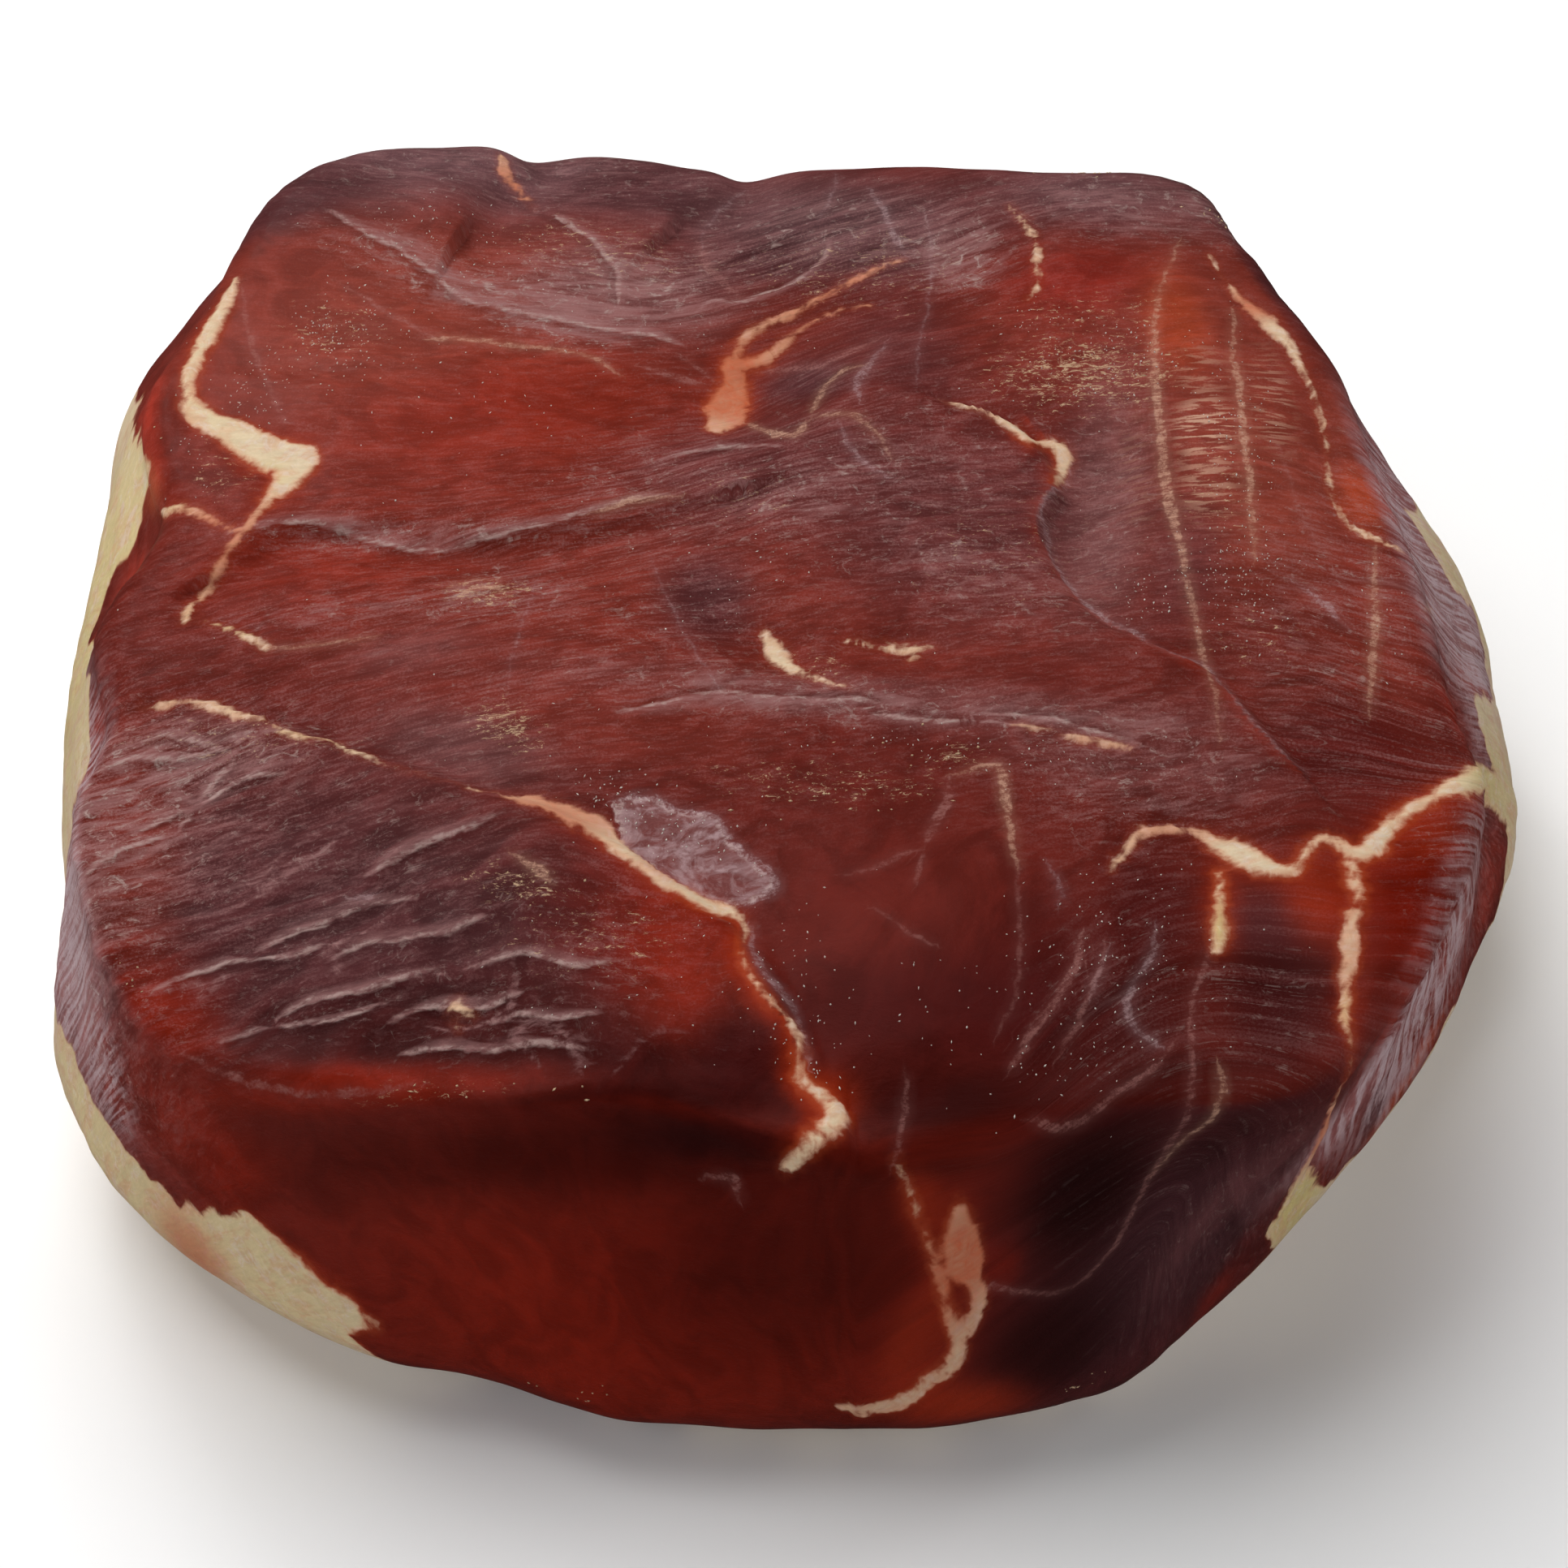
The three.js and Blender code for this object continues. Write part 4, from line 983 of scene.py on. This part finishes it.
def ham_relief():
    """Millimetres along the normal at every point."""
    x, y, z = points.T
    lumps = 0.22 * rolling(x, y, z, 38, 1) + 0.1 * rolling(x, y, z, 14, 2)
    ridges = 0.1 * rolling(ALONG / 7, ACROSS, 0 * x, 4.5, 3) * (0.4 + streak)
    wrinkles = 0.5 * crest + 0.4 * bell((fold_side + 1.0) / 1.5) * ease(fold_width / 3)
    ribs = 0.12 * np.sin(V * 2 * np.pi / 2.6) * add_up(RIBBED)
    beside = 0.35 * bell(seam / 1.8) * (seam < 0)
    proud = 0.12 * ease(seam / 1.5)
    relief = lumps + ridges + wrinkles + ribs + proud - beside
    lift = ease(points[:, 2] / 10)
    return relief * lift


relief = ham_relief()
skin_points = points + point_normals(points, quads) * relief[:, None]
skin_points[:, 2] = np.maximum(skin_points[:, 2], 0)
print("relief from", relief.min().round(2), "to", relief.max().round(2), "mm")


# %% Mesh with its attributes
def in_frame(points_mm):
    """Millimetres about the form's own centre to metres in the CAD frame."""
    moved = points_mm.copy()
    moved[:, :2] += CENTRE_SHIFT
    return moved * MM


def add_vectors(mesh, name, values):
    """One vector for each point, kept as an attribute that the material reads by name."""
    layer = mesh.attributes.new(name, "FLOAT_VECTOR", "POINT")
    layer.data.foreach_set("vector", np.ascontiguousarray(values, np.float32).ravel())


def add_colours(mesh, name, values):
    layer = mesh.attributes.new(name, "FLOAT_COLOR", "POINT")
    rgba = np.concatenate([values, np.ones((len(values), 1))], 1)
    layer.data.foreach_set("color", np.ascontiguousarray(rgba, np.float32).ravel())


def make_piece(name, verts, faces):
    """A smooth-shaded mesh object at the origin, riding on the one body."""
    mesh = bpy.data.meshes.new(name)
    mesh.from_pydata(verts.tolist(), [], faces)
    mesh.update()
    mesh.shade_smooth()
    piece = bpy.data.objects.new(name, mesh)
    bpy.context.collection.objects.link(piece)
    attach(piece, "root")
    return piece


ham = make_piece("ham_skin", in_frame(skin_points), quads.tolist() + pole_faces.tolist())
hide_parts("ham")
add_colours(ham.data, "tone", tone)
add_vectors(ham.data, "fibre", np.stack([ALONG, ACROSS, 0 * U], -1))
add_vectors(ham.data, "skin", np.stack([U, V, 0 * U], -1))
add_vectors(ham.data, "fat", np.stack([fat, yellow, pink], -1))
add_vectors(ham.data, "marks", np.stack([bloom_and_sheen, streak, glow], -1))
# detail holds the wrinkle crests, which also give painted shade and painted highlights, the cream flecks, and the
# hatching less the painted facet sheen.
add_vectors(ham.data, "detail", np.stack([crest, fleck, hatch - facet_sheen], -1))
LINE_GROUPS = {"pale": PALE_LINES, "pink": PINK_LINES, "lilac": LILAC_LINES}
for group, routes in LINE_GROUPS.items():
    offset, half_width = nearest_line(routes)
    strength = ease(LINE_REACH - np.abs(offset)) * (1 - on_base)
    add_vectors(ham.data, group + "_line", np.stack([offset, strength, half_width], -1))
add_vectors(ham.data, "fold_line", np.stack([fold_side, np.abs(fold_side), fold_width], -1))
add_vectors(ham.data, "patches", np.stack([bubble, lip, 0 * U], -1))
print("ham skin box, mm:", (skin_points.max(0) - skin_points.min(0)).round(1))

# %% [markdown]
# ## Writing a material as arithmetic
# A node tree for meat is long, and long trees are hard to read as boxes and wires. The class below wraps one
# output of a node, so that plus, minus and times on it add Math nodes. Everything else goes through one
# method, `node`, which takes a type, its settings and what goes into its sockets.

# %% A small class for shader maths
class Wire:
    """One output socket. Arithmetic on it adds Math nodes to its material."""

    def __init__(self, socket):
        self.socket = socket
        self.tree = socket.id_data

    def node(self, kind, settings, inputs, output=0):
        return add_node(self.tree, kind, settings, inputs, output)

    def maths(self, operation, *values):
        return self.node("ShaderNodeMath", {"operation": operation}, dict(enumerate(values)))

    def __add__(self, other):
        return self.maths("ADD", self, other)

    def __sub__(self, other):
        return self.maths("SUBTRACT", self, other)

    def __rsub__(self, other):
        return self.maths("SUBTRACT", other, self)

    def __mul__(self, other):
        return self.maths("MULTIPLY", self, other)

    def __truediv__(self, other):
        return self.maths("DIVIDE", self, other)

    def __abs__(self):
        return self.maths("ABSOLUTE", self)

    __radd__ = __add__
    __rmul__ = __mul__

    def rise(self, start, end):
        """0 below start, 1 above end, and a soft step between. With start above end it falls."""
        return self.node("ShaderNodeMapRange", {"interpolation_type": "SMOOTHSTEP", "clamp": True},
                         {"Value": self, "From Min": start, "From Max": end, "To Min": 0.0, "To Max": 1.0})


def add_node(tree, kind, settings, inputs, output=0):
    """Adds a node, sets its properties, then fills its sockets with values or links."""
    node = tree.nodes.new(kind)
    for name, value in settings.items():
        setattr(node, name, value)
    for name, value in inputs.items():
        socket = node.inputs[name]
        if isinstance(value, Wire):
            tree.links.new(value.socket, socket)
        else:
            socket.default_value = value
    return Wire(node.outputs[output])


def attribute(tree, name, output="Vector"):
    return add_node(tree, "ShaderNodeAttribute", {"attribute_name": name}, {}, output)


def parts(vector):
    """The three numbers of a vector."""
    split = vector.node("ShaderNodeSeparateXYZ", {}, {0: vector})
    outputs = split.socket.node.outputs
    return Wire(outputs[0]), Wire(outputs[1]), Wire(outputs[2])


def stretched(vector, along, across):
    """A vector of fibre coordinates divided by the wanted length and width of a mark."""
    return vector.node("ShaderNodeVectorMath", {"operation": "MULTIPLY"},
                       {0: vector, 1: (1 / along, 1 / across, 1.0)})


def noise(vector, scale=1.0, detail=2.0, roughness=0.5, distortion=0.0):
    return vector.node("ShaderNodeTexNoise", {"noise_dimensions": "3D"},
                       {"Vector": vector, "Scale": scale, "Detail": detail, "Roughness": roughness,
                        "Distortion": distortion}, "Fac")


def blend(share, under, over):
    """Colour mix: under where share is 0, over where it is 1. Shades may be names or wires."""
    sides = {"A": under, "B": over}
    node = share.tree.nodes.new("ShaderNodeMix")
    node.data_type = "RGBA"
    share.tree.links.new(share.socket, node.inputs[0])
    for socket, value in zip((node.inputs[6], node.inputs[7]), sides.values()):
        if isinstance(value, Wire):
            share.tree.links.new(value.socket, socket)
        else:
            socket.default_value = (*PAINT[value], 1.0)
    return Wire(node.outputs[2])


def shaded(colour, amount):
    """A colour times a number: darker below 1, lighter above."""
    return colour.node("ShaderNodeVectorMath", {"operation": "SCALE"}, {0: colour, "Scale": amount})


# %% [markdown]
# ## The meat's material
# From below to above: the muscle's own tone, broken up along the fibres; painted shade in the wrinkles'
# furrows and painted highlights on their crests; a lilac bloom in streaks, and a painted lilac sheen on the
# side facets; painted highlights and shadows along membrane folds; an orange glow beside fat; the thin lines;
# and the fat itself, whose margin is shaken by noise so that its edge looks grown. One gloss coat over all
# stands for the wet, waxy skin.

# %% Ham material
def new_material(name):
    material = bpy.data.materials.new(name)
    material.use_nodes = True
    return material


def ham_material():
    material = new_material("cured_meat")
    tree = material.node_tree
    principled = tree.nodes["Principled BSDF"]
    fibre = attribute(tree, "fibre")
    skin = attribute(tree, "skin")
    margin, yellow, pink = parts(attribute(tree, "fat"))
    # The first of the marks is the top's lilac bloom, and painted sheen on the side facets.
    bloom_and_sheen, streak, glow = parts(attribute(tree, "marks"))

    crest, fleck, bands = parts(attribute(tree, "detail"))
    hatch = bands.rise(0.0, 1.0)
    # The third number below zero is the painted sheen on the side facets.
    facet_sheen = bands.rise(0.0, -1.0)

    fine = noise(stretched(fibre, 3.4, 0.8), detail=4, roughness=0.65, distortion=0.5)
    mid = noise(stretched(fibre, 9, 2.6), detail=5, roughness=0.62, distortion=1.0)
    blotch = noise(stretched(fibre, 12, 8), detail=5, roughness=0.6, distortion=1.2)
    cotton = noise(skin, scale=0.3, detail=6, roughness=0.72, distortion=1.5)
    grain = noise(skin, scale=2.0, detail=4, roughness=0.75)
    slow = noise(skin, scale=0.22, detail=2, roughness=0.5, distortion=0.8)
    striae = noise(stretched(fibre, 18, 1.0), detail=4, roughness=0.6, distortion=0.3)

    meat = attribute(tree, "tone", "Color")
    light = 1 + (mid.rise(0.36, 0.64) - 0.5) * streak * 0.26 + (fine.rise(0.36, 0.64) - 0.5) * streak * 0.12
    light = light * (1.04 + (blotch.rise(0.34, 0.66) - 0.5) * 0.4 + (grain - 0.5) * 0.3)
    meat = shaded(meat, light)
    meat = blend((slow * 0.5 + blotch * 0.7).rise(0.62, 0.8) * 0.3, meat, shaded(meat, 0.6))
    # Painted shade: the wrinkles' furrows are darkened.
    meat = blend(crest.rise(0.0, -0.5) * 0.5, meat, shaded(meat, 0.45))

    dusty = (fine * 0.6 + grain * 0.6 + blotch * 0.3 + bloom_and_sheen * 0.06).rise(0.72, 0.98)
    meat = blend(dusty * (streak * 0.42 + bloom_and_sheen * 0.25), meat, "pale veil and highlight")
    veils = noise(stretched(fibre, 15, 6), detail=4, roughness=0.55, distortion=2.4)
    # Bloom haze on the top; where it lies on the side facets it is painted sheen.
    haze = (veils * 0.9 + mid * 0.3 + fine * 0.2 + bloom_and_sheen * 0.3).rise(0.86, 1.12) * bloom_and_sheen
    meat = blend(haze * 0.55, meat, "pale veil and highlight")
    # Painted highlight: the wrinkles' crests are paled.
    crest_highlight = (fine * 0.5 + cotton * 0.7 + crest * 0.6).rise(0.7, 1.04)
    meat = blend(crest.rise(0.16, 0.5) * crest_highlight * 0.7, meat, "pale veil and highlight")
    wisps = (fine * 0.4 + cotton * 1.15 + mid * 0.25 + bloom_and_sheen * 0.1).rise(1.02, 1.28) * (bloom_and_sheen + streak * 0.25)
    meat = blend(wisps * 0.6, meat, "wisp and highlight")
    thread = 0.5 - abs(veils - 0.5)
    meat = blend(thread.rise(0.484, 0.5) * cotton.rise(0.46, 0.58) * (streak * 0.1 + bloom_and_sheen * 0.4), meat, "wisp and highlight")
    # Painted sheen: streaks of lilac reflection on the side facets.
    sheen_streaks = (striae * 0.9 + cotton * 0.35 + fine * 0.2).rise(0.62, 0.84)
    meat = blend(sheen_streaks * facet_sheen * 0.85, meat, "facet_sheen")

    side, away, width = parts(attribute(tree, "fold_line"))
    wander = (slow - 0.5) * 1.8 + (cotton - 0.5) * 0.9
    side = side + wander
    upper = side.rise(0.5, -0.2)
    # Painted highlight: a pale band fading up the upper side of each membrane fold.
    fold_highlight = (away / width).rise(1.0, 0.05) * upper
    meat = blend(fold_highlight * (mid.rise(0.38, 0.62) * 0.4 + fine.rise(0.4, 0.6) * 0.25 + 0.3) * 0.7, meat, "pale veil and highlight")
    # Painted shadow just below each membrane fold.
    shadow = side.rise(-0.2, 0.6) * away.rise(3.2, 0.6) * width.rise(0.5, 2.0)
    meat = blend(shadow * 0.42, meat, shaded(meat, 0.5))
    # Painted highlight: a thin pale line along each fold's crest.
    fold_crest_highlight = (0.5 - abs(side + 0.2)).rise(-0.3, 0.35) * away.rise(2.6, 1.6) * width.rise(0.4, 2.4)
    meat = blend(fold_crest_highlight * (cotton * 0.8 + fine * 0.8).rise(0.66, 1.0) * 0.55, meat, "wisp and highlight")

    bubble, lip, _ = parts(attribute(tree, "patches"))
    blister = bubble + (slow - 0.5) * 3.0 + (cotton - 0.5) * 3.0 + (grain - 0.5) * 1.0
    meat = blend(blister.rise(-0.6, 0.6) * (veils.rise(0.42, 0.6) * 0.4 + cotton.rise(0.44, 0.66) * 0.3 + 0.1), meat, "pale lilac")
    blister_rim = (0.55 - abs(blister - 0.4)).rise(0.0, 0.4) * (cotton * 0.8 + fine * 0.6).rise(0.6, 0.85)
    meat = blend(blister_rim * 0.6, meat, "wisp and highlight")
    meat = blend((lip * (mid * 0.8 + 0.6)).rise(0.2, 1.0) * 0.7, meat, "glow")

    level = noise(stretched(skin, 6.5, 1.1), detail=2, roughness=0.5, distortion=0.5)
    meat = blend((level + grain * 0.2).rise(0.58, 0.72) * hatch * 0.9, meat, "line tan")
    flecks = (noise(stretched(skin, 2.4, 1.0), detail=5, roughness=0.8, distortion=1.4) + fleck * 0.13 + (fine - 0.5) * 0.3)
    meat = blend(flecks.rise(0.64, 0.72) * fleck.rise(0.0, 0.35) * 0.8, meat, "dust")

    shaken = margin + (slow - 0.5) * 3.0 + (mid - 0.5) * 2.0 + (cotton - 0.5) * 1.0 + (grain - 0.5) * 0.4
    beside = shaken.rise(-5.0, 0.0)
    meat = blend(beside * glow * 0.5, meat, "glow")

    broken = (grain * 0.45 + cotton * 0.5 + fine * 0.5).rise(0.62, 0.88)
    for group, shade, strength in (("lilac", "pale lilac", 0.5), ("pink", "line pink", 0.5),
                                   ("pale", "line tan", 0.72)):
        offset, near, width = parts(attribute(tree, group + "_line"))
        spread = width * (cotton * 1.4 + fine * 0.8 - 0.3) - abs(offset + (slow - 0.5) * 2.0 + (cotton - 0.5) * 0.9)
        halo = spread.rise(-2.4, 0.4) * near * 0.14
        core = spread.rise(-0.4, 0.25) * near * (broken * 0.9 + 0.06)
        meat = blend((halo + core) * (width.rise(0.1, 0.8) * 0.6 + 0.4) * strength, meat, shade)

    blush = shaken.rise(-1.9, 0.2)
    meat = blend(blush * (glow * 0.55 + 0.14), meat, "fat edge")
    inside = shaken.rise(-0.5, 0.8)
    fat = blend(yellow, shaded_name(tree, "fat cream"), "fat yellow")
    fat = blend((slow * 0.5 + mid * 0.6).rise(0.5, 0.66) * 0.45, fat, "fat pink")
    fat = blend((cotton * 0.7 + slow * 0.4).rise(0.54, 0.68) * 0.4, fat, "cream")
    thin = 1 - shaken.rise(0.1, 1.5)
    fat = blend(thin * (glow * 0.5 + 0.35), fat, "fat pink")
    fat = blend(pink * (cotton * 0.7 + 0.5), fat, "tendon")
    # Painted sheen on the fat of the side facets.
    fat = blend((fine * 0.5 + mid * 0.5).rise(0.5, 0.62) * facet_sheen * 0.35, fat, "facet_sheen")
    fat = shaded(fat, 0.62 + cotton * 0.36 + fine * 0.4)
    colour = blend(inside, meat, fat)

    height = (fine * 0.12 + mid * 0.2 + grain * 0.06 + wisps * 0.05) * (1 - inside * 0.7)
    height = height + inside * 0.1 + cotton * 0.1
    bump = height.node("ShaderNodeBump", {}, {"Strength": 1.0, "Distance": MM, "Height": height})
    rough = 0.34 + (grain - 0.5) * 0.3 + bloom_and_sheen * 0.12
    principled.inputs["Specular IOR Level"].default_value = 0.045
    tree.links.new(colour.socket, principled.inputs["Base Color"])
    tree.links.new(rough.socket, principled.inputs["Roughness"])
    tree.links.new(bump.socket, principled.inputs["Normal"])
    principled.inputs["Coat Weight"].default_value = 0.02
    principled.inputs["Coat Roughness"].default_value = 0.16
    return material


def shaded_name(tree, name):
    """A named shade as a wire, for places where a wire is needed: a mix of the shade with itself."""
    node = tree.nodes.new("ShaderNodeMix")
    node.data_type = "RGBA"
    node.inputs[0].default_value = 0.0
    node.inputs[6].default_value = (*PAINT[name], 1.0)
    return Wire(node.outputs[2])


ham.data.materials.append(ham_material())
print("material nodes:", len(ham.data.materials[0].node_tree.nodes))

# %% [markdown]
# ## Crystals and crumbs
# Long-cured meat grows white crystals of protein and salt, and small dry crumbs of fat cling to it. Each is
# a real grain of eight faces, far too small to need more. A thousand of them are one mesh, because arrays
# of corners are quick to make and a single object is quick to draw.

# %% Grains
WHITE_GRAINS = [(-86, 76, 8, 10, 0, 3.0), (-100, 60, 5, 8, 0, 2.0), (-70, 103, 14, 8, 0, 1.2), (-60, 70, 40, 30, 0, .12),
                (80, 12, 8, 10, 0, 2.4), (86, 40, 5, 26, 0, 1.6), (66, 8, 5, 6, 0, 1.6), (-30, -38, 6, 5, -30, 2.0),
                (-18, -46, 8, 6, -30, 1.5), (0, -78, 4, 12, 0, 1.6), (5, -92, 4, 8, 0, 1.4), (56, -72, 14, 16, 0, .6),
                (48, -94, 10, 6, 0, .9), (-20, -72, 24, 20, 0, .2), (30, -86, 20, 12, 0, .3), (108, 4, 4, 10, 0, .8),
                (60, 70, 14, 10, 0, .8), (0, 20, 90, 60, 0, .02), (30, -28, 30, 5, -6, .5), (-6, 16, 12, 12, 0, .4), (50, 82, 8, 4, 0, 1.2), (-110, 50, 6, 14, 0, .8)]
CREAM_CRUMBS = [(-58, -100, 4, .8, 2, 1.6), (-47, -100, 5, .8, 0, 1), (-34, -101, 6, .8, 0, .5), (-66, -167, 5, 1.5, 20, 4),
                (-50, -167, 5, 1.5, 30, 4), (60, 124, 6, 1.6, 0, 4), (87, 113, 4, 2, 0, 4), (-107, -80, 1.4, 3, 30, 3),
                (-44, -60, 9, 4, -20, .25), (58, 66, 16, 7, 0, .25), (6, -40, 14, 4, 0, .4), (-118, 58, 3, 6, 0, .6),
                (24, -28, 16, 3, 0, .4), (74, -164, 5, 3, 20, 3)]


def grains(name, rows, count, long_mm, thick_mm, heading_degrees, seed):
    """Octahedra at drawn points: half lengths along, across and out of the skin, turned in its plane."""
    draw = np.random.default_rng(seed)
    chance = sum(weight * oval(*form, 1.0) for *form, weight in rows)
    chance = chance * (fat < -0.5) * (1 - on_base)
    spot = draw.choice(len(U), count, p=chance / chance.sum())
    normal = skin_normals[spot]
    east = np.cross([0.0, 1.0, 0.0], normal)
    east /= np.linalg.norm(east, axis=1)[:, None]
    north = np.cross(normal, east)
    turn = np.radians(heading_degrees + draw.normal(0, 28, count))[:, None]
    along = east * np.cos(turn) + north * np.sin(turn)
    across = north * np.cos(turn) - east * np.sin(turn)
    half = long_mm * draw.lognormal(0, 0.45, count).clip(0.3, 2.2)[:, None]
    slim = thick_mm * draw.lognormal(0, 0.35, count).clip(0.4, 1.8)[:, None]
    jitter = (east * draw.uniform(-.6, .6, count)[:, None] + north * draw.uniform(-.6, .6, count)[:, None])
    middle = skin_points[spot] + jitter
    corners = np.stack([middle + along * half, middle + across * slim, middle - along * half,
                        middle - across * slim, middle + normal * slim * 0.7, middle - normal * slim * 0.7], 1)
    pattern = np.array([(0, 1, 4), (1, 2, 4), (2, 3, 4), (3, 0, 4), (1, 0, 5), (2, 1, 5), (3, 2, 5), (0, 3, 5)])
    faces = (np.arange(count)[:, None, None] * 6 + pattern[None]).reshape(-1, 3)
    return make_piece(name, in_frame(corners.reshape(-1, 3)), faces.tolist())


def grain_material(name, shade, spread):
    material = new_material(name)
    tree = material.node_tree
    principled = tree.nodes["Principled BSDF"]
    place = add_node(tree, "ShaderNodeTexCoord", {}, {}, "Object")
    tint = noise(place, scale=900.0, detail=2)
    colour = shaded(shaded_name(tree, shade), 1 + (tint - 0.5) * spread)
    tree.links.new(colour.socket, principled.inputs["Base Color"])
    principled.inputs["Roughness"].default_value = 0.45
    return material


skin_normals = point_normals(skin_points, quads)
crystals = grains("white_crystals", WHITE_GRAINS, 1700, 0.19, 0.12, 80, 11)
crystals.data.materials.append(grain_material("crystal_white", "cream", 0.9))
crumbs = grains("cream_crumbs", CREAM_CRUMBS, 120, 0.3, 0.2, 20, 12)
crumbs.data.materials.append(grain_material("crumb_cream", "dust", 1.0))
print("grains:", len(crystals.data.polygons) // 8, "crystals and", len(crumbs.data.polygons) // 8, "crumbs")

# %% [markdown]
# ## Floor and light
# The ham stands on a plain pale floor under one broad soft light from above and behind, with weak light from
# the sides. The world below the horizon is dark and the floor isn't mirrored, so the steep front wall keeps
# its deep red. The lilac sheen on the side facets is painted into their colour instead.

# %% Floor
def make_floor():
    size = 6.0
    mesh = bpy.data.meshes.new("floor")
    corners = [(-size, -size, 0), (size, -size, 0), (size, size, 0), (-size, size, 0)]
    mesh.from_pydata(corners, [], [(0, 1, 2, 3)])
    floor = bpy.data.objects.new("floor", mesh)
    bpy.context.collection.objects.link(floor)
    material = new_material("white_floor")
    shader = material.node_tree.nodes["Principled BSDF"]
    shader.inputs["Base Color"].default_value = (0.97, 0.97, 0.97, 1)
    shader.inputs["Roughness"].default_value = 0.9
    shader.inputs["Specular IOR Level"].default_value = 0.0
    mesh.materials.append(material)
    floor.visible_glossy = False
    return floor


floor = make_floor()


# %% Lights
def soft_light(name, place, target, width, watts, glossy=True):
    """A square area light at a place, turned so that its -Z axis points at the target."""
    lamp = bpy.data.lights.new(name, "AREA")
    lamp.size = width
    lamp.energy = watts
    light = bpy.data.objects.new(name, lamp)
    light.location = place
    from mathutils import Vector
    light.rotation_euler = (Vector(target) - Vector(place)).to_track_quat("-Z", "Y").to_euler()
    light.visible_glossy = glossy
    bpy.context.collection.objects.link(light)
    return light


soft_light("top light", (-0.4, 0.55, 1.35), (0, 0, 0.05), 1.3, 23.5, glossy=False)
soft_light("left light", (-1.4, -0.3, 0.7), (0, 0, 0.05), 0.9, 5.0, glossy=False)
soft_light("right light", (1.5, -0.2, 0.6), (0, 0, 0.05), 0.9, 5.4, glossy=False)
soft_light("front light", (0.0, -1.6, 0.9), (0, 0, 0.05), 1.2, 6.0, glossy=False)
soft_light("back glint", (-0.5, 1.0, 0.95), (0, 0, 0.05), 0.3, 2.4)
soft_light("side glint", (1.1, 0.5, 0.6), (0, 0, 0.05), 0.25, 1.0)

world = bpy.data.worlds.new("studio")
bpy.context.scene.world = world
world.use_nodes = True
background = world.node_tree.nodes["Background"]
background.inputs["Color"].default_value = (1.0, 1.0, 1.0, 1)
background.inputs["Strength"].default_value = 0.03
bpy.context.scene.view_settings.view_transform = "Standard"
